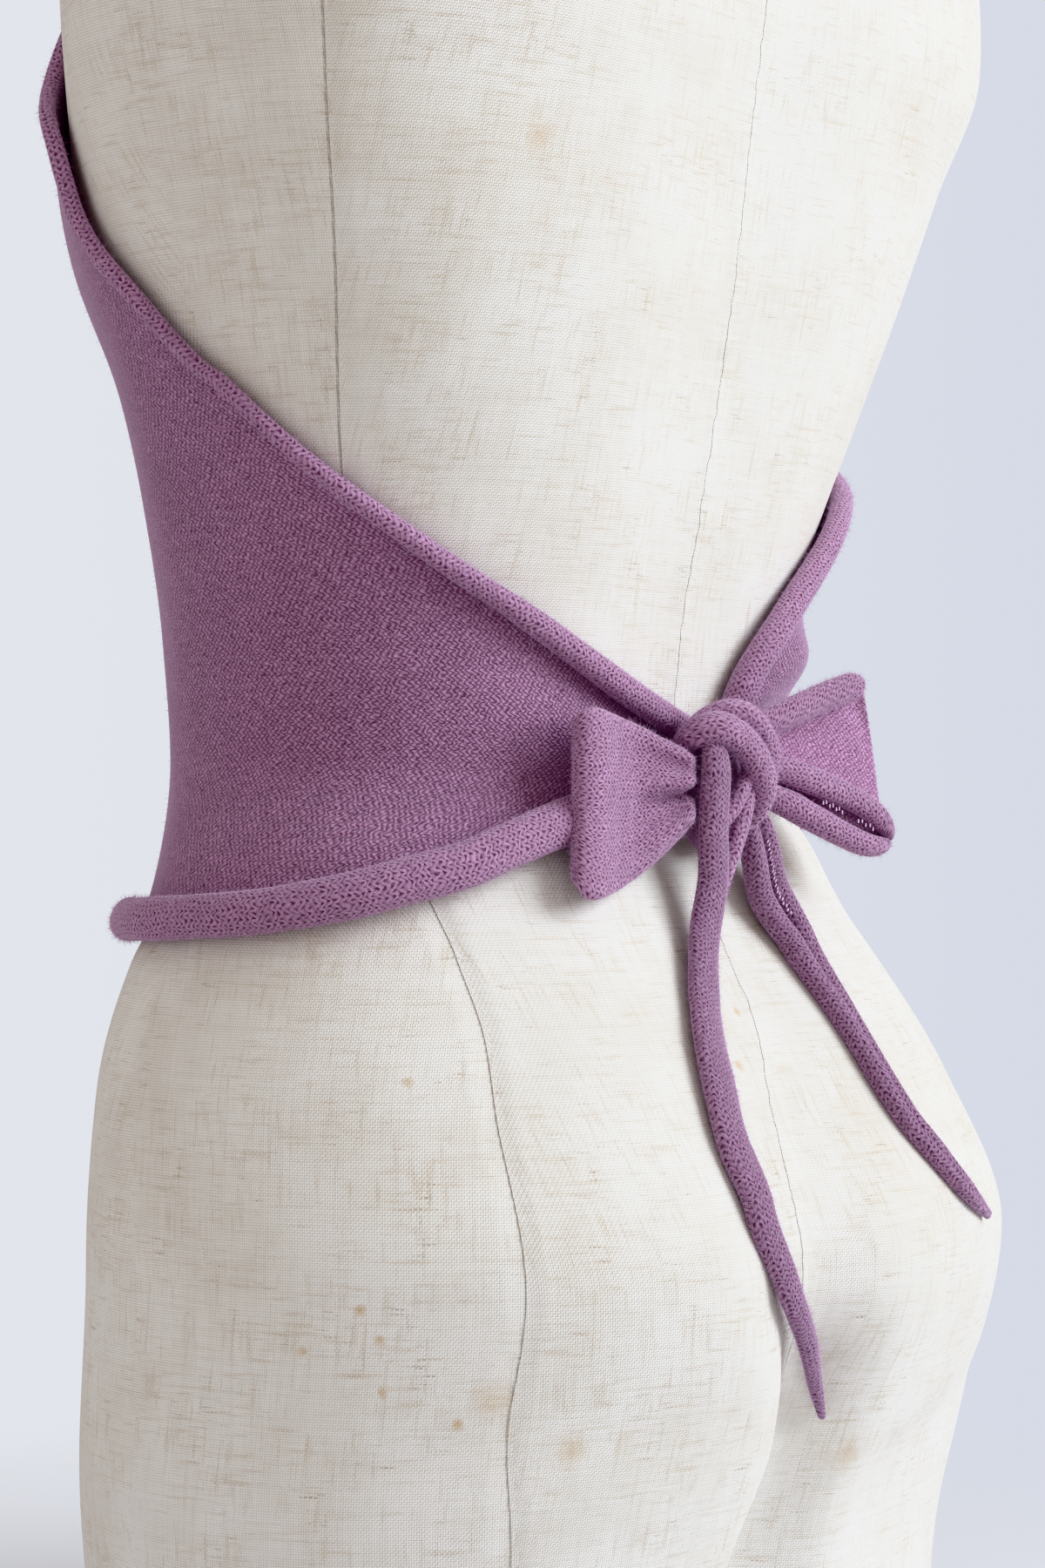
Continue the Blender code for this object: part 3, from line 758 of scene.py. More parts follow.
def linen(name):
    made = bpy.data.materials.new(name)
    made.use_nodes = True
    tree = made.node_tree
    shader = tree.nodes["Principled BSDF"]
    cloth = tree.nodes.new("ShaderNodeUVMap")
    cloth.uv_map = "cloth"
    threads = tree.nodes.new("ShaderNodeGroup")
    threads.node_tree = weave
    tree.links.new(cloth.outputs["UV"], threads.inputs["Place"])
    where = tree.nodes.new("ShaderNodeTexCoord").outputs["Object"]

    tint = noise(tree, where, 24.0, 5.0, 0.65).outputs["Fac"]
    pale = plus(tree, times(tree, threads.outputs["Streak"], 0.8), tint)
    colour = mix_colour(tree, remap(tree, pale, 0.66, 1.04), LINEN_WARM, LINEN_PALE)
    colour = mix_colour(tree, times(tree, threads.outputs["Slub"], 0.55), colour, LINEN_SLUB)
    shade = remap(tree, threads.outputs["Grain"], 0.0, 0.85, 0.72, 1.09)
    colour = darkened(tree, colour, shade)
    flecks = times(tree, threads.outputs["Fleck"], 0.75)
    colour = mix_colour(tree, flecks, colour, LINEN_FLECK_AND_SEAM_SHADE)

    ragged = noise(tree, where, 240.0, 4.0, 0.75).outputs["Fac"]
    frayed = remap(tree, ragged, 0.32, 0.68, 0.5, 2.0)
    rust = 0.0
    for turn, height, radius in SPOTS:
        apart = tree.nodes.new("ShaderNodeVectorMath")
        apart.operation = "DISTANCE"
        apart.inputs[1].default_value = form_point(turn, height) * MM
        tree.links.new(where, apart.inputs[0])
        far = times(tree, apart.outputs["Value"], frayed)
        strength = SMALL_SPOT if radius < 5 else BROAD_SPOT
        spot = remap(tree, far, 0.0, radius * MM, strength, 0.0, soft=True)
        rust = calc(tree, "MAXIMUM", rust, spot)
    patchy = remap(tree, ragged, 0.3, 0.7, 0.3, 1.0)
    colour = mix_colour(tree, times(tree, rust, patchy), colour, LINEN_STAIN)

    lines = {}
    for label in ("middle_seam", "panel_seam", "side_seam"):
        line = tree.nodes.new("ShaderNodeAttribute")
        line.attribute_name = label
        lines[label] = line.outputs["Fac"]
    wave = noise(tree, stretched(tree, where, (20.0, 20.0, 190.0)), 1.0, 2.0).outputs["Fac"]
    wavy = plus(tree, lines["middle_seam"], remap(tree, wave, 0.3, 0.7, -0.5, 0.5))
    middle = calc(tree, "ABSOLUTE", wavy)
    panel = calc(tree, "ABSOLUTE", lines["panel_seam"])
    side = calc(tree, "ABSOLUTE", lines["side_seam"])
    # painted shade along the seams: faint on the middle seam, darker on the side-back seam
    faint = remap(tree, middle, 0.1, 0.9, 0.13, 0.0, True)
    shaded_seam_line = calc(tree, "MAXIMUM", faint, remap(tree, panel, 0.05, 0.5, 1.0, 0.0, True))
    colour = mix_colour(tree, times(tree, shaded_seam_line, 0.38), colour, LINEN_FLECK_AND_SEAM_SHADE)
    tree.links.new(colour, shader.inputs["Base Color"])

    # the middle seam stands up on one side, the others sink a little
    lip = times(tree, remap(tree, wavy, -2.2, 0.0), remap(tree, wavy, 0.2, -0.2))
    pucker = noise(tree, stretched(tree, where, (60.0, 60.0, 300.0)), 1.0, 1.0).outputs["Fac"]
    ruck = times(tree, remap(tree, middle, 1.0, 9.0, 1.0, 0.0, True), pucker)
    sunk = times(tree, shaded_seam_line, -0.8)
    fold = remap(tree, panel, 0.0, 7.0, -1.1, 0.0, True)
    edge = remap(tree, side, 0.0, 9.0, -0.8, 0.0, True)
    height = plus(tree, lip, ruck)
    for more in (sunk, fold, edge):
        height = plus(tree, height, more)
    coarse = bumped(tree, height, 0.9, SEAM_RELIEF)
    fine = bumped(tree, threads.outputs["Height"], 0.6, THREAD_RELIEF, coarse)
    tree.links.new(fine, shader.inputs["Normal"])
    shader.inputs["Roughness"].default_value = 0.88
    shader.inputs["Specular IOR Level"].default_value = 0.2
    shader.inputs["Sheen Weight"].default_value = 0.1
    return made


linen_cover = linen("linen_cover")

# %% [markdown]
# ## The covered form
#
# The cover is one fine grid round the form. Two more rows close the flat base,
# and two close the neck. Distances from the seams are kept on the vertices,
# because a straight ramp between two vertices is exact where a painted line
# would be blurred.

# %% Form piece
FORM_AROUND = 300
FORM_UP = 230
# height, and how far the middle seam lies across
MIDDLE_SEAM = (
    (0, 22),
    (102, 12),
    (139, 22),
    (168, 25),
    (201, 19),
    (241, 3),
    (300, -1),
    (368, -2),
    (487, 2),
    (538, 6),
    (740, 0),
)
# height, and the turn of the side-back seam and of the side seam there
PANEL_SEAM = (
    (0, 140),
    (79, 137),
    (130, 133),
    (202, 133),
    (226, 133.5),
    (250, 131),
    (265, 127.5),
    (300, 119),
    (345, 111),
    (391, 111),
    (449, 113.2),
    (517, 117),
    (600, 121),
    (740, 128),
)
SIDE_SEAM = (
    (0, 84),
    (125, 83),
    (199, 78.5),
    (225, 76),
    (300, 82),
    (445, 87.3),
    (523, 85.2),
    (740, 90),
)


def make_form():
    turns = np.linspace(-180, 180, FORM_AROUND + 1)
    heights = np.linspace(0, FORM_TOP, FORM_UP)
    ring = form_point(turns[:, None], heights[None, :])
    centre_low = ring[:, :1] * (0, 0, 1)
    centre_high = ring[:, -1:] * (0, 0, 1)
    points = np.concatenate([centre_low, ring, centre_high], axis=1)
    around = running(points, 0)
    around = around - around[FORM_AROUND // 2]
    x, y, z = points[..., 0], points[..., 1], points[..., 2]
    middle = np.where(y > 0, x - between(*zip(*MIDDLE_SEAM), z), x + 200)
    seams = []
    for table in (PANEL_SEAM, SIDE_SEAM):
        at = between(*zip(*table), z[0])
        place = [np.interp(a, turns, around[:, k]) for k, a in enumerate(at)]
        seams.append(np.abs(around) - np.array(place)[None, :])
    # the grain runs straight in each panel, so each is measured from its own middle
    high = z.copy()
    high[:, 0] -= np.linalg.norm(ring[:, 0, :2], axis=-1)
    high[:, -1] += np.linalg.norm(ring[:, -1, :2], axis=-1)
    maps = []
    for middle_turn in (0, 102, -102, 180, -180):
        k = int(round((middle_turn + 180) / 360 * FORM_AROUND))
        maps.append(np.stack([around - around[k] + middle_turn, high], axis=-1))
    region = np.zeros((points.shape[0] - 1, points.shape[1] - 1), int)
    left = (turns[:-1, None] + turns[1:, None] > 0).repeat(points.shape[1] - 1, axis=1)
    beyond_side = seams[1][:-1, :-1] > 0
    beyond_panel = seams[0][:-1, :-1] > 0
    region[beyond_side & left] = 1
    region[beyond_side & ~left] = 2
    region[beyond_panel & left] = 3
    region[beyond_panel & ~left] = 4
    made = bent_grid(
        "linen_form",
        points,
        maps,
        region,
        values=(("middle_seam", middle), ("panel_seam", seams[0]), ("side_seam", seams[1])),
        weld=True,
    )
    face_away(made)
    made.data.materials.append(linen_cover)
    return made


linen_form = make_form()
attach(linen_form, "root")
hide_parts("dress_form")
print("form faces", len(linen_form.data.polygons))

# %% [markdown]
# ## The body panel
#
# The panel wraps the front and both sides, and narrows into two wings at the
# back. Its top edge and its hem are tables of a turn round the form, a height
# and the thickness of the roll there. The wall between them is laid on the
# form, and each edge goes on into a curl that tightens as it turns. The curl is
# stepped along by its own radius, as one would walk along a spiral.

# %% Edges of the panel
WALL = 1.6
CLOTH_GAP = 1.2
BUST_GAP = 2.4
# turn, height and the radius of the roll, from the bow round the left side to the front
TOP_LEFT = np.array([
    (184, 313.5, 4.8),
    (172, 323.5, 5.0),
    (165, 329.5, 4.9),
    (158, 336.5, 4.7),
    (150, 345, 4.4),
    (141, 355, 4.1),
    (132, 364.5, 3.8),
    (123, 374.5, 3.5),
    (114, 384.5, 3.2),
    (105, 396, 3.0),
    (95.5, 410.5, 2.8),
    (86.5, 428, 2.8),
    (78, 447, 2.8),
    (71, 460.5, 2.8),
    (66.8, 471, 2.8),
    (64.5, 482, 2.8),
    (62, 491, 2.7),
    (57, 499, 2.6),
    (50, 506, 2.5),
    (44, 513, 2.5),
    (40.5, 520, 2.4),
    (38, 528, 2.2),
    (35, 540, 2.0),
    (32, 560, 2.4),
    (29, 585, 2.8),
    (25.5, 610, 3.1),
    (22, 634, 3.2),
    (19.5, 643.5, 3.2),
    (17.5, 641, 3.2),
    (15, 634, 3.2),
    (11, 624, 3.2),
    (6, 617, 3.2),
    (0, 615, 3.2),
])
HEM_LEFT = np.array([
    (184, 299, 4.8),
    (172, 295.5, 5.4),
    (165, 292, 6.2),
    (158, 289.5, 6.8),
    (150, 285, 7.0),
    (141, 279.5, 7.0),
    (132, 273.5, 7.0),
    (123, 269.3, 7.0),
    (114, 265, 7.0),
    (105, 262, 6.9),
    (97, 260, 6.9),
    (89, 258.7, 6.8),
    (83, 258, 6.7),
    (78, 257.5, 6.7),
    (73.5, 257.2, 6.7),
    (69, 257, 6.7),
    (65, 256.8, 6.7),
    (61, 256.5, 6.7),
    (57, 256.5, 6.6),
    (53, 256.5, 6.6),
    (49, 256, 6.5),
    (44.5, 256, 6.4),
    (40, 256, 6.3),
    (35, 256, 6.2),
    (30, 256, 6.1),
    (25, 255.5, 6.0),
    (20.5, 255.5, 6.0),
    (17, 255.5, 6.0),
    (14, 255.5, 6.0),
    (10.5, 255.5, 6.0),
    (7, 255, 6.0),
    (3.5, 255, 6.0),
    (0, 255, 6.0),
])
# the right wing is pulled higher than the left, from the side seam to the knot
TOP_RIGHT = TOP_LEFT.copy()
TOP_RIGHT[:12] = (
    (168.5, 324, 4.8),
    (167, 331, 5.2),
    (165, 337.5, 5.3),
    (162, 345, 5.2),
    (157.5, 354, 5.0),
    (151.5, 364.5, 4.8),
    (144, 376, 4.5),
    (135, 388, 4.2),
    (125, 398, 3.9),
    (113, 406.5, 3.6),
    (101, 415.5, 3.3),
    (90, 427, 3.0),
)
HEM_RIGHT = HEM_LEFT.copy()
HEM_RIGHT[:3, 0] = (170, 168, 164)
HEM_RIGHT[:12, 1] = (300, 300, 300, 300, 300, 299.5, 298.5, 296.5, 291, 282, 271, 263)
HEM_RIGHT[3:9, 2] = (5.6, 5.4, 5.4, 5.4, 5.6, 6.2)

CURL_END = math.radians(318)
CURL_TIGHTEN = 0.22
HEM_SQUASH = 0.14
HALF_COLUMNS = 150
WALL_ROWS = 56
CURL_ROWS = 18
WANDER_STEPS = 4096
WANDER_START = 2000


def gentle(x, seed, size):
    """Slow, repeatable wander between about -1 and 1, from random steps a size apart."""
    steps = np.random.default_rng(seed).uniform(-1, 1, WANDER_STEPS)
    s = x / size + WANDER_START
    k = np.floor(s).astype(int)
    t = s - k
    t = t * t * (3 - 2 * t)
    return steps[k] * (1 - t) + steps[k + 1] * t


def both_sides(left_rows, right_rows, places):
    """Two tables' columns, from the left bow end, round the front, to the right."""
    index = np.arange(len(left_rows))
    left = [between(index, left_rows[:, c], places) for c in range(3)]
    right = [between(index, right_rows[:, c], places)[-2::-1] for c in range(3)]
    right[0] = -right[0]
    return [np.concatenate([a, b]) for a, b in zip(left, right)]


def even_places(rows, count):
    """Places in a table, so that steps between them are equally long on the form."""
    fine = np.linspace(0, len(rows) - 1, 1200)
    index = np.arange(len(rows))
    line = form_point(between(index, rows[:, 0], fine), between(index, rows[:, 1], fine), True)
    travelled = running(line, 0)
    return np.interp(np.linspace(0, travelled[-1], count), travelled, fine)


def cloth_point(turns, z):
    full = np.exp(-(((z - BUST_Z) / BUST_RISE) ** 2) / 2)
    clear = CLOTH_GAP + BUST_GAP * full + WALL / 2
    return form_point(turns, z, True) + form_normal(turns, z, True) * clear[..., None]


def curl(edge, out, normal, radius, rows, end=CURL_END, tighten=CURL_TIGHTEN, squash=0.0):
    """Points of an edge that curls outward, one row for each step round it."""
    angles = np.linspace(0, end, rows + 1)
    step = angles[1] - angles[0]
    middle = (angles[:-1] + angles[1:]) / 2
    radii = (radius[:, None] - WALL / 2) * (1 - tighten * middle / math.tau)
    # a squashed curl is wider along the cloth and lower on it
    outward = np.cumsum(radii * np.cos(middle) * step, axis=1) * (1 + squash)
    lifted = np.cumsum(radii * np.sin(middle) * step, axis=1) * (1 - squash)
    points = edge[:, None] + out[:, None] * outward[..., None] + normal[:, None] * lifted[..., None]
    return points, np.cumsum(radii * step, axis=1)


def arc_table():
    """Distance round the form from its side line, for each turn and height."""
    turns = np.arange(0, 181, 1.0)
    heights = np.arange(240, 660, 4.0)
    ring = form_point(turns[:, None], heights[None, :], True)
    ring[..., 2] = 0
    travelled = running(ring, 0)
    return heights, travelled - travelled[90]


ARC_HEIGHTS, ARCS = arc_table()


def arc_at(turns, z):
    """Distance round the form at any turn and height, signed by side."""
    a = np.clip(np.abs(turns), 0, 179.99)
    h = np.clip((z - ARC_HEIGHTS[0]) / (ARC_HEIGHTS[1] - ARC_HEIGHTS[0]), 0, len(ARC_HEIGHTS) - 1.001)
    i, j = a.astype(int), h.astype(int)
    s, t = a - i, h - j
    low = ARCS[i, j] * (1 - s) + ARCS[i + 1, j] * s
    high = ARCS[i, j + 1] * (1 - s) + ARCS[i + 1, j + 1] * s
    arc = low * (1 - t) + high * t
    front = ARCS[0, j] * (1 - t) + ARCS[0, j + 1] * t
    return np.sign(turns) * (arc - front)


def make_panel():
    places = even_places(TOP_LEFT, HALF_COLUMNS)
    top_turn, top_z, top_r = both_sides(TOP_LEFT, TOP_RIGHT, places)
    hem_turn, hem_z, hem_r = both_sides(HEM_LEFT, HEM_RIGHT, places)
    s = np.linspace(0, 1, WALL_ROWS)[None, :]
    turns = hem_turn[:, None] + (top_turn - hem_turn)[:, None] * s
    z = hem_z[:, None] + (top_z - hem_z)[:, None] * s
    wall = cloth_point(turns, z)
    normals = form_normal(turns, z, True)

    # folds that gather towards the knot, and a slight slackness elsewhere
    near = np.clip((np.abs(turns) - 118) / 50, 0, 1) ** 1.6
    fold = 3.0 * np.exp(-(((s - 0.60) / 0.13) ** 2)) + 2.2 * np.exp(-(((s - 0.20) / 0.12) ** 2))
    slack = 0.35 * (1 + gentle(turns * 1.7 + z * 0.4, 3, 16.0)) * np.sin(np.pi * s)
    bulge = 6.0 * np.exp(-(((turns + 143) / 15) ** 2) - ((z - 343) / 12) ** 2)
    lift = near * fold + slack + bulge
    wall = wall + normals * lift[..., None]

    low_edge, high_edge = wall[:, 0], wall[:, -1]
    low_out = unit(np.cross(normals[:, 0], np.gradient(low_edge, axis=0)))
    high_out = -unit(np.cross(normals[:, -1], np.gradient(high_edge, axis=0)))
    run_low = running(low_edge, 0)
    run_high = running(high_edge, 0)
    hem_r = hem_r * (1 + 0.035 * gentle(run_low, 5, 19.0))
    top_r = top_r * (1 + 0.035 * gentle(run_high, 6, 17.0))
    low, low_v = curl(low_edge, low_out, normals[:, 0], hem_r, CURL_ROWS, squash=HEM_SQUASH)
    high, high_v = curl(high_edge, high_out, normals[:, -1], top_r, CURL_ROWS)
    points = np.concatenate([low[:, ::-1], wall, high], axis=1)

    columns, rows = points.shape[:2]
    body_map = np.zeros((columns, rows, 2))
    body_map[:, CURL_ROWS:-CURL_ROWS, 0] = arc_at(turns, z)
    body_map[:, CURL_ROWS:-CURL_ROWS, 1] = z
    edge_map = np.zeros((columns, rows, 2))
    edge_map[:, :CURL_ROWS, 0] = run_low[:, None]
    edge_map[:, :CURL_ROWS, 1] = -low_v[:, ::-1]
    edge_map[:, CURL_ROWS, 0] = run_low
    edge_map[:, -CURL_ROWS - 1 :, 0] = run_high[:, None]
    edge_map[:, -CURL_ROWS:, 1] = high_v
    region = np.zeros((columns - 1, rows - 1), int)
    region[:, :CURL_ROWS] = 1
    region[:, -CURL_ROWS:] = 1
    made = bent_grid("body_cloth", points, [body_map, edge_map], region)
    made.data.materials.append(purl_wool)
    made.data.materials.append(smooth_wool)
    return made


def outward_first(made, inside):
    """Flips a sheet if its faces look towards a point that lies behind it."""
    mesh = made.data
    total = sum((p.center - inside).dot(p.normal) * p.area for p in mesh.polygons)
    if total < 0:
        mesh.flip_normals()


body_cloth = make_panel()
outward_first(body_cloth, Vector((0, 0, 0.4)))
give_wall(body_cloth, WALL)
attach(body_cloth, "root")
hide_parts("body_panel")

# %% [markdown]
# ## Rolled cords
#
# The neck strap and the tie ends are narrow strips whose two edges curl in
# until they meet, so each looks like a cord with a groove along it. One ring
# of points is shaped by a width, a depth and how deep the groove is, and the
# ring is then carried along the cord's line. Where a strip lies open, its two
# edges turn with the same curl as the panel's.

# %% Cord helper
# an open strip's roll is at most this share of its width
ROLL_SHARE = 0.375
OPEN_CURL = math.radians(345)


def along_frames(points, outward):
    """At each point of a line: its direction, across it and away from the body."""
    along = unit(np.gradient(points, axis=0))
    away = unit(outward - along * np.sum(outward * along, axis=1, keepdims=True))
    return np.cross(away, along), away


def resample(table, count):
    """Rows of a table, smoothly spread to a count of places."""
    table = np.asarray(table, float)
    index = np.arange(len(table))
    travelled = running(table[:, :3], 0)
    places = np.interp(np.linspace(0, travelled[-1], count), travelled, index)
    return np.stack([between(index, table[:, c], places) for c in range(table.shape[1])], axis=1)


def sewn(made, outer, inner, length, across):
    """Gives a sheet its two wools and its wall, and returns it with its flat sizes."""
    made.data.materials.append(outer)
    made.data.materials.append(inner)
    area = sheet_area(made)
    give_wall(made, WALL)
    return made, float(length) * MM, float(np.ptp(across, axis=1).max()) * MM, area


def rolled_strip(name, points, outward, widths, depths, groove, seed, around=40, slit=0.10):
    """Strip with both edges curled in to a groove that faces the body."""
    across, away = along_frames(points, outward)
    angle = np.linspace(slit, math.tau - slit, around)
    from_groove = np.minimum(angle, math.tau - angle)
    dent = np.exp(-((from_groove / 0.55) ** 2))
    half = (widths / 2 - WALL / 2)[:, None]
    thick = (depths / 2 - WALL / 2)[:, None]
    length = running(points, 0)
    wander = 1 + 0.05 * gentle(length, seed, 9.0)[:, None]
    sideways = half * wander * np.sin(angle)[None]
    lifted = -thick * (np.cos(angle)[None] - groove[:, None] * 2 * dent[None])
    ring = points[:, None] + across[:, None] * sideways[..., None] + away[:, None] * lifted[..., None]
    around_run = running(ring, 1)
    around_run = around_run - around_run[:, around // 2, None]
    cloth = np.stack([np.broadcast_to(length[:, None], around_run.shape), around_run], axis=-1)
    return sewn(bent_grid(name, ring, [cloth]), smooth_wool, smooth_wool, length[-1], around_run)


def curled_strip(name, points, outward, widths, radii, seed):
    """Strip whose long edges curl up into two rolls, with a groove between them."""
    across, away = along_frames(points, outward)
    length = running(points, 0)
    wander = 1 + 0.04 * gentle(length, seed, 8.0)
    radii = np.minimum(radii, widths * ROLL_SHARE) * wander
    floor_half = widths / 2 - radii
    s = np.linspace(-1, 1, 9)[None, :, None]
    floor = points - away * radii[:, None]
    web = floor[:, None] + across[:, None] * floor_half[:, None, None] * s
    sides = []
    for sign, k in ((-1, 0), (1, -1)):
        rolled, _ = curl(web[:, k], across * sign, away, radii, 22, end=OPEN_CURL, tighten=0.1)
        sides.append(rolled)
    ring = np.concatenate([sides[0][:, ::-1], web, sides[1]], axis=1)
    around = running(ring, 1)
    around = around - around[:, ring.shape[1] // 2, None]
    cloth = np.stack([np.broadcast_to(length[:, None], around.shape), around], axis=-1)
    return sewn(bent_grid(name, ring, [cloth]), purl_wool, smooth_wool, length[-1], around)


def finish_cloth(made, node, flat, area):
    """Hangs a cloth piece on the root, hides the solid it stands for and prints the size it was cut as.
    """
    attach(made, "root")
    if node:
        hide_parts(node)
    print(made.name, "cut", [round(v, 3) for v in flat], "area", round(area, 5))


# %% Neck strap
# turn and height
STRAP_LINE = (
    (19.5, 643),
    (23.5, 652),
    (31, 663),
    (48, 677),
    (70, 687),
    (95, 692),
    (125, 697),
    (155, 700),
    (180, 701),
)
STRAP_RADIUS = 4.0
STRAP_TAPER = 12.0
STRAP_TIP = 0.6


def make_strap():
    turns = np.linspace(STRAP_LINE[0][0], 180, 120)
    z = between(*zip(*STRAP_LINE), turns)
    turns = np.concatenate([turns, 360 - turns[-2::-1]])
    z = np.concatenate([z, z[-2::-1]])
    normals = form_normal(turns, z)
    points = form_point(turns, z) + normals * (STRAP_RADIUS + 1.0)
    run = running(points, 0)
    # each end is drawn in, so that it slips under the corner of the panel
    from_end = np.minimum(run, run[-1] - run)
    size = STRAP_RADIUS * 2 * np.interp(from_end, (0, STRAP_TAPER), (STRAP_TIP, 1.0))
    return rolled_strip("strap_cord", points, normals, size, size, size * 0, 11, around=28)


strap_cord, length, width, area = make_strap()
finish_cloth(strap_cord, "neck_strap", (width, length), area)

# %% [markdown]
# ## The tie ends
#
# Both hang from under the knot, meet the seat and follow it down to a point.
# The left one lies with its groove inward and looks like a soft cord. The
# right one shows its groove, and stitches painted pale as a highlight are
# stretched across its upper part. Their smooth wool is a darker copy, as
# painted shade.

# %% Tie tables
# across, back, height, width, thickness and groove
TIE_LEFT = (
    (15.5, 83.0, 312.6, 4.6, 4.4, 0.0),
    (16.2, 86.6, 310.0, 9.0, 6.8, 0.0),
    (17.0, 87.8, 303.0, 11.0, 7.8, 0.05),
    (17.2, 87.0, 290.0, 11.2, 8.0, 0.05),
    (16.5, 86.5, 275.0, 11.4, 8.0, 0.05),
    (20.5, 86.6, 258.0, 12.6, 7.6, 0.05),
    (32.0, 93.9, 238.0, 14.6, 7.2, 0.05),
    (45.0, 107.2, 216.0, 15.6, 7.0, 0.05),
    (52.0, 119.6, 193.0, 13.8, 7.0, 0.05),
    (52.0, 128.0, 176.0, 12.0, 6.6, 0.05),
    (43.5, 131.0, 156.0, 9.6, 6.2, 0.05),
    (26.0, 126.4, 137.0, 7.6, 5.6, 0.05),
    (9.0, 118.6, 119.0, 5.0, 4.4, 0.0),
    (1.0, 115.6, 109.0, 2.4, 2.4, 0.0),
)
TIE_RIGHT = (
    (-5.5, 77.0, 297.0, 8.0, 5.0, 0.3),
    (-8.5, 81.6, 291.5, 11.0, 6.2, 0.3),
    (-11.4, 83.9, 285.6, 13.6, 7.0, 0.3),
    (-14.8, 83.3, 278.0, 16.0, 8.0, 0.5),
    (-21.2, 81.6, 267.0, 16.8, 8.2, 0.55),
    (-29.0, 88.1, 250.0, 14.4, 8.0, 0.55),
    (-30.5, 100.9, 232.0, 11.6, 7.4, 0.5),
    (-29.8, 114.2, 215.0, 10.0, 6.8, 0.45),
    (-32.6, 124.2, 199.0, 9.2, 6.4, 0.4),
    (-40.6, 132.3, 185.0, 8.0, 5.8, 0.35),
    (-52.4, 136.0, 173.0, 6.0, 4.8, 0.3),
    (-66.8, 133.9, 165.0, 3.2, 3.0, 0.2),
)


def make_tie(name, rows, count, seed, open_groove=False):
    fine = resample(rows, count)
    points = fine[:, :3]
    widths, depths, groove = fine[:, 3:6].T
    outward = np.broadcast_to((0.0, 1.0, 0.0), points.shape)
    # the ties' smooth wool is swapped for the darker copy, painted shade
    if open_groove:
        strip = curled_strip(name, points, outward, widths, depths / 2, seed)
    else:
        strip = rolled_strip(name, points, outward, widths, depths, groove, seed)
        strip[0].data.materials[0] = tie_wool_painted_shade
    strip[0].data.materials[1] = tie_wool_painted_shade
    return strip


tie_left, length, width, area = make_tie("tie_left", TIE_LEFT, 190, 21)
finish_cloth(tie_left, "tie_end_left", (width, length), area)
tie_right, length, width, area = make_tie("tie_right", TIE_RIGHT, 130, 22, open_groove=True)
finish_cloth(tie_right, "tie_end_right", (width, length), area)

# %% [markdown]
# ## The knot
#
# The middle of the bow is a tight bundle. One tie wraps over it in a thick
# crescent, a second band shows behind, and two thin folds show where the
# wrap's edges slip under the hanging end. Each is a rolled strip on its own
# line, and a rounded core fills the space between them.

# %% Knot tables
CORE = np.array((4.0, 75.0, 300.0))
CORE_SIZE = np.array((14.0, 8.5, 21.0))
# across, back, height, width, thickness, groove
WRAP = (
    (10.0, 70.5, 306.5, 8.0, 6.0, 0),
    (16.6, 75.6, 312.4, 9.8, 7.2, 0),
    (18.8, 81.6, 315.6, 10.8, 8.2, 0),
    (15.0, 87.0, 317.2, 11.4, 8.8, 0),
    (8.5, 89.5, 314.8, 11.8, 9.0, 0),
    (0.4, 91.2, 307.4, 11.6, 9.0, 0),
    (-4.2, 90.6, 300, 9.6, 8.6, 0),
    (-5.4, 88.6, 294, 7.2, 7.2, 0),
    (-4.8, 86.2, 289.5, 4.8, 5.2, 0),
    (-4.0, 83.0, 286, 2.8, 3.0, 0),
)
BAND = (
    (12, 72, 315, 5.0, 5.0, 0),
    (7.0, 78.5, 320.6, 8.0, 7.0, 0),
    (3.0, 82.6, 322.2, 9.2, 8.0, 0),
    (-1.0, 85, 321.4, 9.8, 8.4, 0),
    (-6.4, 86.2, 317.8, 10.0, 8.6, 0),
    (-10.8, 86.2, 313.4, 10.0, 8.6, 0),
    (-13.6, 85.4, 308.4, 9.8, 8.4, 0),
    (-14.6, 84, 302.8, 9.2, 8.0, 0),
    (-13.6, 81.6, 297.5, 8.0, 7.6, 0),
    (-10.5, 79, 292, 6.0, 6.0, 0),
    (-7.0, 76.5, 288, 4.0, 4.0, 0),
)
FOLD_HIGH = (
    (-1.0, 86.6, 306.0, 2.6, 3.0, 0),
    (1.6, 88.4, 302.6, 4.4, 4.6, 0),
    (5.0, 89.0, 298.0, 5.2, 5.0, 0),
    (8.6, 88.4, 292.8, 5.2, 5.0, 0),
    (12.2, 86.6, 287.6, 3.4, 4.0, 0),
)
FOLD_LOW = (
    (-1.0, 87.0, 301.0, 3.0, 3.2, 0),
    (1.0, 88.4, 297.0, 4.8, 4.8, 0),
    (3.8, 88.8, 290.4, 6.0, 5.4, 0),
    (6.6, 88.2, 283.2, 6.0, 5.4, 0),
    (9.2, 87.0, 275.4, 5.0, 5.0, 0),
    (10.8, 86.0, 268.6, 3.6, 4.0, 0),
    (12.0, 85.4, 262.0, 2.0, 2.4, 0),
)


def knot_strip(name, rows, count, seed):
    fine = resample(rows, count)
    points = fine[:, :3]
    widths, depths, groove = fine[:, 3:6].T
    return rolled_strip(name, points, points - CORE, widths, depths, groove, seed, 34, 0.05)


wrap_cloth, length, width, area = knot_strip("wrap_cloth", WRAP, 90, 31)
finish_cloth(wrap_cloth, "knot_wrap", (width, length), area)
band_cloth, length, width, area = knot_strip("band_cloth", BAND, 80, 32)
finish_cloth(band_cloth, "knot_band", (width, length), area)
for label, rows, seed in (("fold_high", FOLD_HIGH, 33), ("fold_low", FOLD_LOW, 34)):
    made, length, width, area = knot_strip(label, rows, 50, seed)
    finish_cloth(made, None, (max(width, 0.0101), length), area)


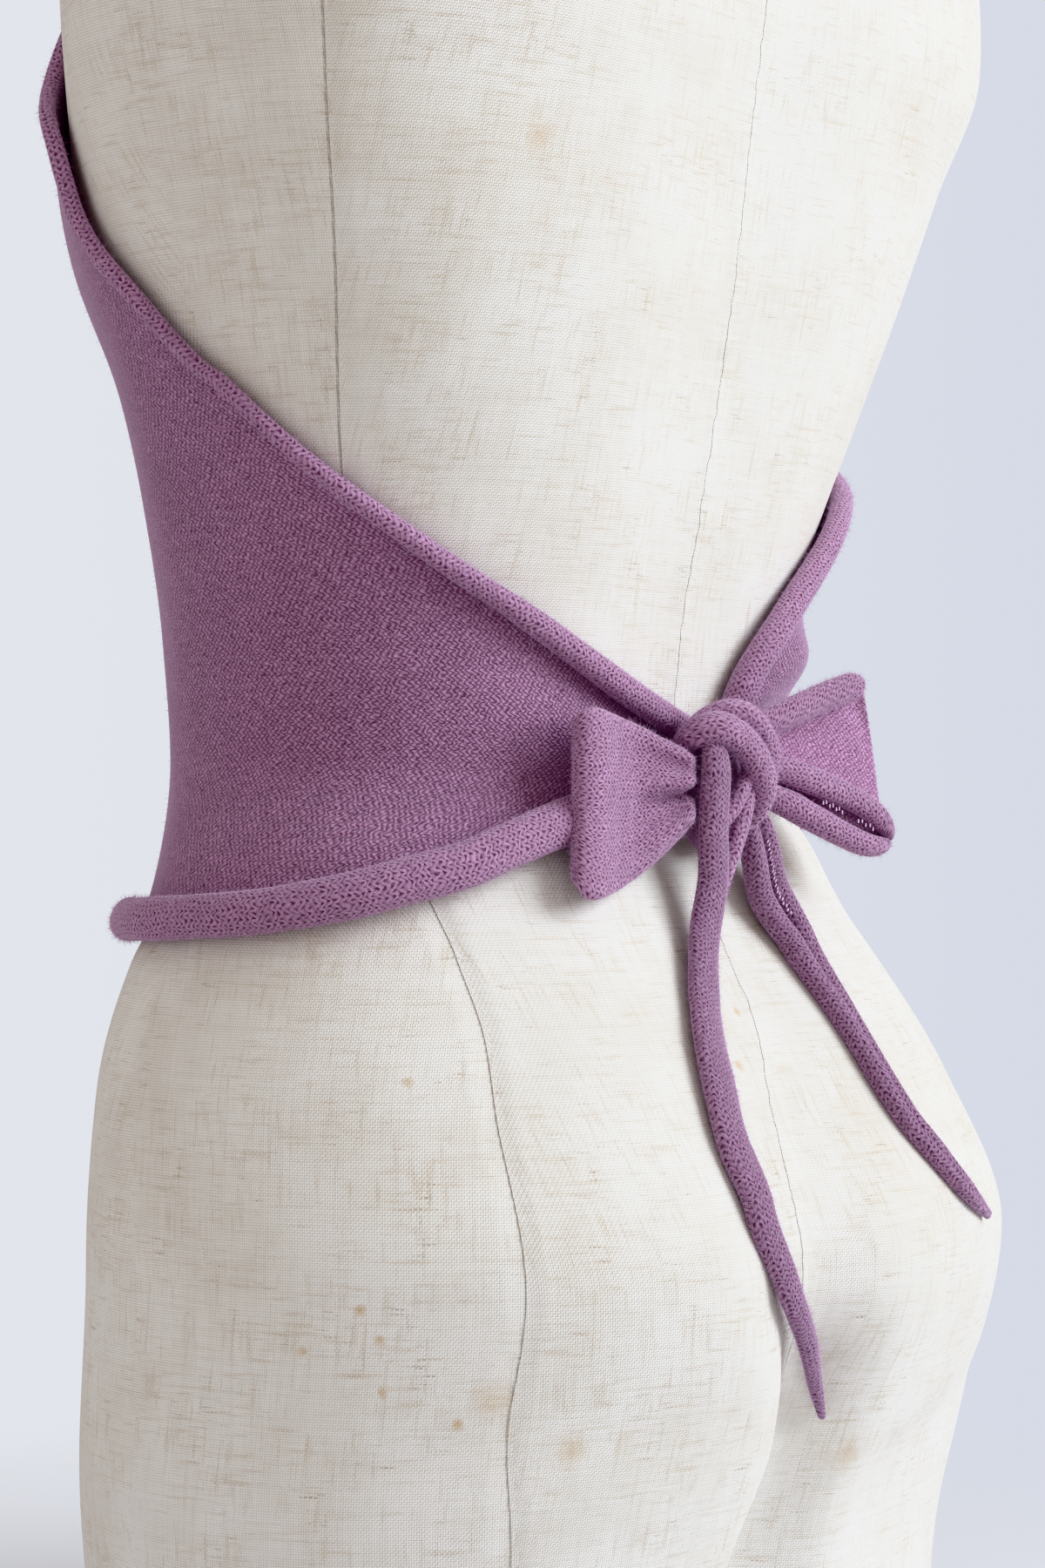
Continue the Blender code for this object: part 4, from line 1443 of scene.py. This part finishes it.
def make_heart():
    """Rounded bundle of cloth at the centre of the bow."""
    tilt = np.radians(np.linspace(-90, 90, 60))[None, :]
    spin = np.radians(np.linspace(0, 360, 81))[:, None]
    lumps = 1 + 0.05 * np.cos(spin * 3 + tilt * 2) + 0.04 * np.cos(spin * 5)
    points = np.stack(
        [
            CORE[0] + CORE_SIZE[0] * np.cos(tilt) * np.cos(spin) * lumps,
            CORE[1] + CORE_SIZE[1] * np.cos(tilt) * np.sin(spin) * lumps,
            CORE[2] + CORE_SIZE[2] * np.sin(tilt) * np.ones_like(spin),
        ],
        axis=-1,
    )
    across = np.broadcast_to(spin * 12.0, points.shape[:2])
    up = np.broadcast_to(tilt * 21.0, points.shape[:2])
    made = bent_grid("knot_heart", points, [np.stack([up, across], axis=-1)], weld=True)
    face_away(made)
    made.data.materials.append(smooth_wool)
    return made


knot_heart = make_heart()
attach(knot_heart, "root")
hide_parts("knot_core")

# %% [markdown]
# ## The left loop
#
# The left loop is a wide strip that folds back on itself. It is narrow where
# the knot grips it and opens like a fan. Its outer face swells, its long edges
# roll in towards its own inside, and one crease runs out from the knot.

# %% Left loop
# along the strip: across, back, top, bottom, how far its long edges roll in, and how loose it is
LOOP_LEFT = (
    (16.0, 79.4, 308.4, 288.6, 1.6, 0.0),
    (20.4, 81.9, 308.8, 287.8, 2.2, 0.1),
    (25.3, 84.3, 309.4, 287.0, 2.6, 0.2),
    (28.7, 82.4, 311.2, 283.4, 3.0, 0.4),
    (33.5, 79.2, 313.9, 278.0, 3.2, 0.6),
    (38.4, 76.4, 316.8, 273.4, 3.2, 0.6),
    (43.3, 74.9, 318.8, 270.2, 3.2, 0.5),
    (48.8, 74.9, 320.3, 268.2, 3.0, 0.4),
    (55.0, 75.9, 321.4, 267.0, 2.6, 0.4),
    (60.2, 76.6, 322.0, 266.6, 2.2, 0.4),
    (63.8, 76.0, 321.7, 267.2, 1.8, 0.3),
    (66.2, 74.0, 320.6, 269.2, 1.4, 0.2),
    (65.6, 70.8, 319.0, 272.0, 0.8, 0.1),
    (60.0, 69.2, 317.6, 273.4, 0.8, 0.0),
    (48.0, 69.6, 315.0, 276.0, 0.8, 0.0),
    (34.0, 72.6, 311.0, 282.0, 0.8, 0.0),
    (20.0, 76.4, 307.6, 288.6, 0.8, 0.0),
)
LOOP_SWELL = 1.4
LOOP_LEAN_Z = 292.0
LOOP_LEAN = 0.20
LOOP_SPREAD = 0.30


def make_left_loop():
    rows = [(x, y, 0, top, bottom, roll, loose) for x, y, top, bottom, roll, loose in LOOP_LEFT]
    fine = resample(rows, 170)
    count = len(fine)
    along = unit(np.gradient(fine[:, :3], axis=0))
    face = np.stack([-along[:, 1], along[:, 0], np.zeros(count)], axis=1)
    travelled = running(fine[:, :3], 0)
    top, bottom, roll, loose = (fine[:, c][:, None] for c in (3, 4, 5, 6))
    out = fine[:, 0][:, None] - 23.0

    rows_up = 84
    flat = 0.66
    v = np.linspace(-1, 1, rows_up)[None, :]
    tall = (top - bottom) / 2
    middle = (top + bottom) / 2
    # the face runs straight between the rolls, which turn past a half circle
    past = np.clip((np.abs(v) - flat) / (1 - flat), 0, 1) * math.radians(205)
    straight = np.clip(np.abs(v) / flat, 0, 1) * (tall - roll)
    height = middle + np.sign(v) * (straight + roll * np.sin(past))
    inward = roll * (1 - np.cos(past))
    swell = LOOP_SWELL * loose * (1 - np.clip(np.abs(v) / flat, 0, 1) ** 2)

    # a deep crease from the knot, softer folds above and below it, all on the outer layer
    front = (travelled < travelled[-1] * 0.45)[:, None]
    near = np.clip(1 - out / 22, 0, 1) ** 0.7
    spread = 1.6 + np.maximum(out, 0) * 0.13
    crease = -6.0 * near * np.exp(-(((height - 297.4 + out * 0.16) / spread) ** 2))
    fan = np.sin((height - middle) / tall * 7.4 + 0.4) * 1.5
    fan = fan * np.clip(1 - out / 34, 0, 1) * np.clip(out / 5, 0, 1)
    slack = 0.3 * np.sin(height / 5.2 + out / 9.0) * loose
    relief = np.where(front & (past == 0), crease + fan + slack, 0.0)

    depth = -inward + swell + relief
    points = fine[:, None, :3] * (1, 1, 0) + face[:, None] * depth[..., None]
    drop = np.maximum(0.0, LOOP_LEAN_Z - height) * np.clip(out / 12, 0, 1)
    points[..., 1] += LOOP_LEAN * drop
    points[..., 0] += LOOP_SPREAD * drop
    points[..., 2] = height
    around = running(points, 1)
    around = around - around[:, rows_up // 2, None]
    # the strip is gathered at the knot, so its wales crowd together there
    gathered = around * np.ptp(around, axis=1).max() / np.ptp(around, axis=1)[:, None]
    cloth = np.stack([np.broadcast_to(travelled[:, None], around.shape), gathered], axis=-1)
    return sewn(bent_grid("loop_left", points, [cloth]), purl_wool, smooth_wool, travelled[-1], around)


loop_left, length, width, area = make_left_loop()
finish_cloth(loop_left, "bow_loop_left", (width, length), area)

# %% [markdown]
# ## The right loop
#
# This loop is seen from its open side: a roll along the top, the bumpy inside
# of the cloth below it, and the returning strip as a thick band with a groove.
# The roll and the inside are one sheet, and the band is a rolled strip.

# %% Right loop
LOOP_RIGHT_START = np.array((-9.0, 76.6, 0.0))
LOOP_RIGHT_END = np.array((-57.0, 88.0, 0.0))
# share of the way out, roll height, roll radius, lower edge, how far it flares
LOOP_RIGHT = (
    (0.00, 314.6, 4.0, 306.0, 1.0),
    (0.20, 318.4, 5.0, 303.0, 1.06),
    (0.42, 322.4, 5.4, 299.0, 1.13),
    (0.62, 325.8, 5.4, 294.6, 1.19),
    (0.80, 328.6, 5.3, 290.6, 1.24),
    (0.90, 330.0, 5.2, 288.6, 1.26),
    (0.95, 330.6, 4.7, 287.8, 1.27),
    (0.985, 331.0, 3.4, 287.4, 1.27),
    (1.00, 331.2, 2.0, 287.2, 1.27),
)
# across, back, height, width and roll radius
BAND_RIGHT = (
    (-8.0, 77.5, 302.5, 10.0, 2.6),
    (-17.0, 81.4, 301.6, 15.0, 3.8),
    (-26.0, 85.0, 299.0, 18.4, 4.5),
    (-36.0, 88.4, 295.2, 20.0, 4.7),
    (-46.0, 91.4, 291.2, 20.4, 4.3),
    (-54.0, 93.8, 287.8, 19.8, 4.1),
    (-59.5, 95.2, 285.4, 18.0, 3.9),
    (-63.6, 96.0, 283.7, 14.6, 3.5),
    (-66.4, 96.3, 282.6, 10.0, 2.6),
    (-68.0, 96.4, 281.9, 5.0, 1.4),
)


def make_right_web():
    rows = np.array(LOOP_RIGHT)
    share = np.linspace(0, 1, 70)
    roll_z, roll_r, low_z, flare = (between(rows[:, 0], rows[:, c], share) for c in range(1, 5))
    direction = LOOP_RIGHT_END - LOOP_RIGHT_START
    face = unit(np.array((direction[1], -direction[0], 0.0)) * -1)
    face = face if face[1] > 0 else -face
    t = np.linspace(0, 1, 30)[None, :]
    height = low_z[:, None] + (roll_z - low_z)[:, None] * t
    reach = share[:, None] * (1 + (flare[:, None] - 1) * np.sqrt(1 - t))
    web = LOOP_RIGHT_START + direction * reach[..., None]
    web[..., 2] = height
    hollow = -2.6 * np.sin(np.pi * t) * np.sin(np.pi * np.clip(share, 0, 0.9) / 0.9)[:, None]
    forward = np.clip(roll_r[:, None].max() - roll_r[:, None], 0, 4) * t**3 * (share[:, None] > 0.5)
    web = web + face * (hollow + forward)[..., None]
    normals = np.broadcast_to(face, (len(share), 3))
    out = np.broadcast_to((0.0, 0.0, 1.0), normals.shape)
    rolled, _ = curl(web[:, -1], out, normals, roll_r, 22, end=math.radians(350), tighten=0.3)
    points = np.concatenate([web, rolled], axis=1)
    run = running(points, 0)
    up = running(points, 1)
    made = bent_grid("loop_right_web", points, [np.stack([run, up], axis=-1)])
    # the inside takes the paler copy of the purl wool, painted light
    made.data.materials.append(inner_wool_painted_light)
    made.data.materials.append(smooth_wool)
    mesh = made.data
    if sum(Vector(face).dot(p.normal) * p.area for p in mesh.polygons if p.center.z < 0.318) < 0:
        mesh.flip_normals()
    area = sheet_area(made)
    give_wall(made, WALL)
    return made, float(run[-1].max()) * MM, float(up.max()) * MM, area


loop_web, length, width, area = make_right_web()
finish_cloth(loop_web, "bow_loop_right", (width, length), area)


def make_right_band():
    fine = resample(BAND_RIGHT, 120)
    points = fine[:, :3]
    outward = np.broadcast_to((0.20, 0.98, 0.0), points.shape)
    return curled_strip("loop_right_band", points, outward, fine[:, 3], fine[:, 4], 41)


loop_band, length, width, area = make_right_band()
finish_cloth(loop_band, None, (width, length), area)

# %% [markdown]
# ## Loose fibres
#
# Brushed wool has a halo: fibre ends that stand a millimetre or two off the
# surface and blur its outline. Each is a very thin tapered strip here. They
# are spread over the grids that the cloth was bent from, in proportion to
# area, and lean out at random angles from a fixed seed. The stitches that
# are stretched across the open grooves are short strips of the same kind,
# painted near white as a painted highlight. All of them are one mesh, made
# from one long grid whose every other face is taken away.

# %% Halo
FIBRE_HALF = 0.045
FIBRE_LONGEST = 2.6
RUNG_STEP = 1.2
RUNG_REACH = 0.55
RUNG_HALF = 0.27
RUNG_SWAY = 0.3
# painted highlight: the stretched stitches are far paler than the yarn
STRETCHED_STITCH_HIGHLIGHT = (0.90, 0.78, 0.90)
rng = np.random.default_rng(7)


def fibres_on(points, inside, count, longest):
    """Corners of thin strips that stand on a bent grid and lead away from inside."""
    a, b, c, d = points[:-1, :-1], points[1:, :-1], points[:-1, 1:], points[1:, 1:]
    facing = np.cross(b - a, c - a)
    size = np.linalg.norm(facing, axis=-1)
    cell = rng.choice(size.size, count, p=size.ravel() / size.sum())
    i, j = np.unravel_index(cell, size.shape)
    s, t = rng.random((2, count, 1))
    root = (a[i, j] * (1 - s) + b[i, j] * s) * (1 - t) + (c[i, j] * (1 - s) + d[i, j] * s) * t
    out = facing[i, j] / (size[i, j][:, None] + 1e-9)
    away = root - np.broadcast_to(inside, points.shape)[i, j]
    out = out * np.where(np.sum(out * away, axis=1) < 0, -1.0, 1.0)[:, None]
    loose = unit(rng.normal(size=(count, 3)))
    lean = unit(out * 0.75 + loose * 0.85)
    side = unit(np.cross(lean, loose)) * FIBRE_HALF
    length = 1.0 + (longest - 1.0) * rng.random((count, 1)) ** 2
    start = root + out * (WALL / 2 - 0.1)
    tip = start + lean * length
    strip = np.stack([start - side, start + side, tip - side * 0.3, tip + side * 0.3], axis=1)
    return strip.reshape(count * 2, 2, 3)


def middle_line(points):
    """Centre of each row of a grid that is rolled up."""
    return points.mean(axis=1, keepdims=True)


def rungs_on(name, first, last, lift):
    """Corners of short stitches that cross a strip's groove, left and right in turn; their pale colour
    is a painted highlight.
    """
    ring = GRIDS[name]
    line = ring.mean(axis=1)
    travelled = running(line, 0)
    count = int((last - first) * travelled[-1] / RUNG_STEP)
    k = np.searchsorted(travelled, np.linspace(first, last, count) * travelled[-1])
    middle = ring.shape[1] // 2
    out = unit(line[k] - ring[k, middle])
    across = unit(ring[k, middle + 1] - ring[k, middle - 1])
    along = np.cross(out, across)
    sway = np.where(np.arange(count) % 2, RUNG_SWAY, -RUNG_SWAY)[:, None]
    centre = line[k] + out * lift + across * sway
    start = centre - across * RUNG_REACH
    tip = centre + across * RUNG_REACH + along * RUNG_SWAY
    half = along * RUNG_HALF
    strip = np.stack([start - half, start + half, tip - half, tip + half], axis=1)
    return strip.reshape(count * 2, 2, 3)


def make_halo():
    panel = GRIDS["body_cloth"]
    low, high = panel[:, : CURL_ROWS + 1], panel[:, -CURL_ROWS - 1 :]
    wall = panel[:, CURL_ROWS:-CURL_ROWS]
    loop = GRIDS["loop_left"]
    web, rolled = GRIDS["loop_right_web"][:, :30], GRIDS["loop_right_web"][:, 29:]
    sources = [
        (low, middle_line(low), 16000),
        (high, middle_line(high), 16000),
        (wall, wall * (0, 0, 1), 12000),
        (loop, loop * (0, 0, 1) + (43.0, 74.0, 0.0), 9000),
        (web, web - (0.2, 0.98, 0.0), 3000),
        (rolled, middle_line(rolled), 3000),
    ]
    cords = (
        ("strap_cord", 3000),
        ("tie_left", 9000),
        ("tie_right", 6000),
        ("wrap_cloth", 3000),
        ("band_cloth", 2500),
        ("fold_high", 500),
        ("fold_low", 700),
        ("loop_right_band", 5000),
    )
    for name, count in cords:
        sources.append((GRIDS[name], middle_line(GRIDS[name]), count))
    strips = [fibres_on(*source, FIBRE_LONGEST) for source in sources]
    fibres = np.concatenate(strips)
    rungs = np.concatenate([
        rungs_on("tie_right", 0.10, 0.26, 4.2),
        rungs_on("loop_right_band", 0.50, 0.63, 3.0),
        rungs_on("loop_right_band", 0.74, 0.84, 2.6),
    ])
    corners = np.concatenate([fibres, rungs])
    blank = np.zeros(corners.shape[:2] + (2,))
    region = np.zeros((len(corners) - 1, 1), int)
    region[len(fibres) :] = 1
    made = bent_grid("wool_halo", corners, [blank, blank], region, gaps=True)
    # the fibres take the yarn's fluff colour, the stretched stitches their painted highlight
    for name, colour in (("wool_fluff", WOOL_FLUFF_AND_RIM_SHEEN), ("stretched_stitch_highlight", STRETCHED_STITCH_HIGHLIGHT)):
        fluff_and_sheen = bpy.data.materials.new(name)
        fluff_and_sheen.use_nodes = True
        shader = fluff_and_sheen.node_tree.nodes["Principled BSDF"]
        shader.inputs["Base Color"].default_value = (*colour, 1.0)
        shader.inputs["Roughness"].default_value = 1.0
        shader.inputs["Specular IOR Level"].default_value = 0.1
        made.data.materials.append(fluff_and_sheen)
    return made


wool_halo = make_halo()
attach(wool_halo, "root")
print("loose fibres", len(wool_halo.data.polygons))
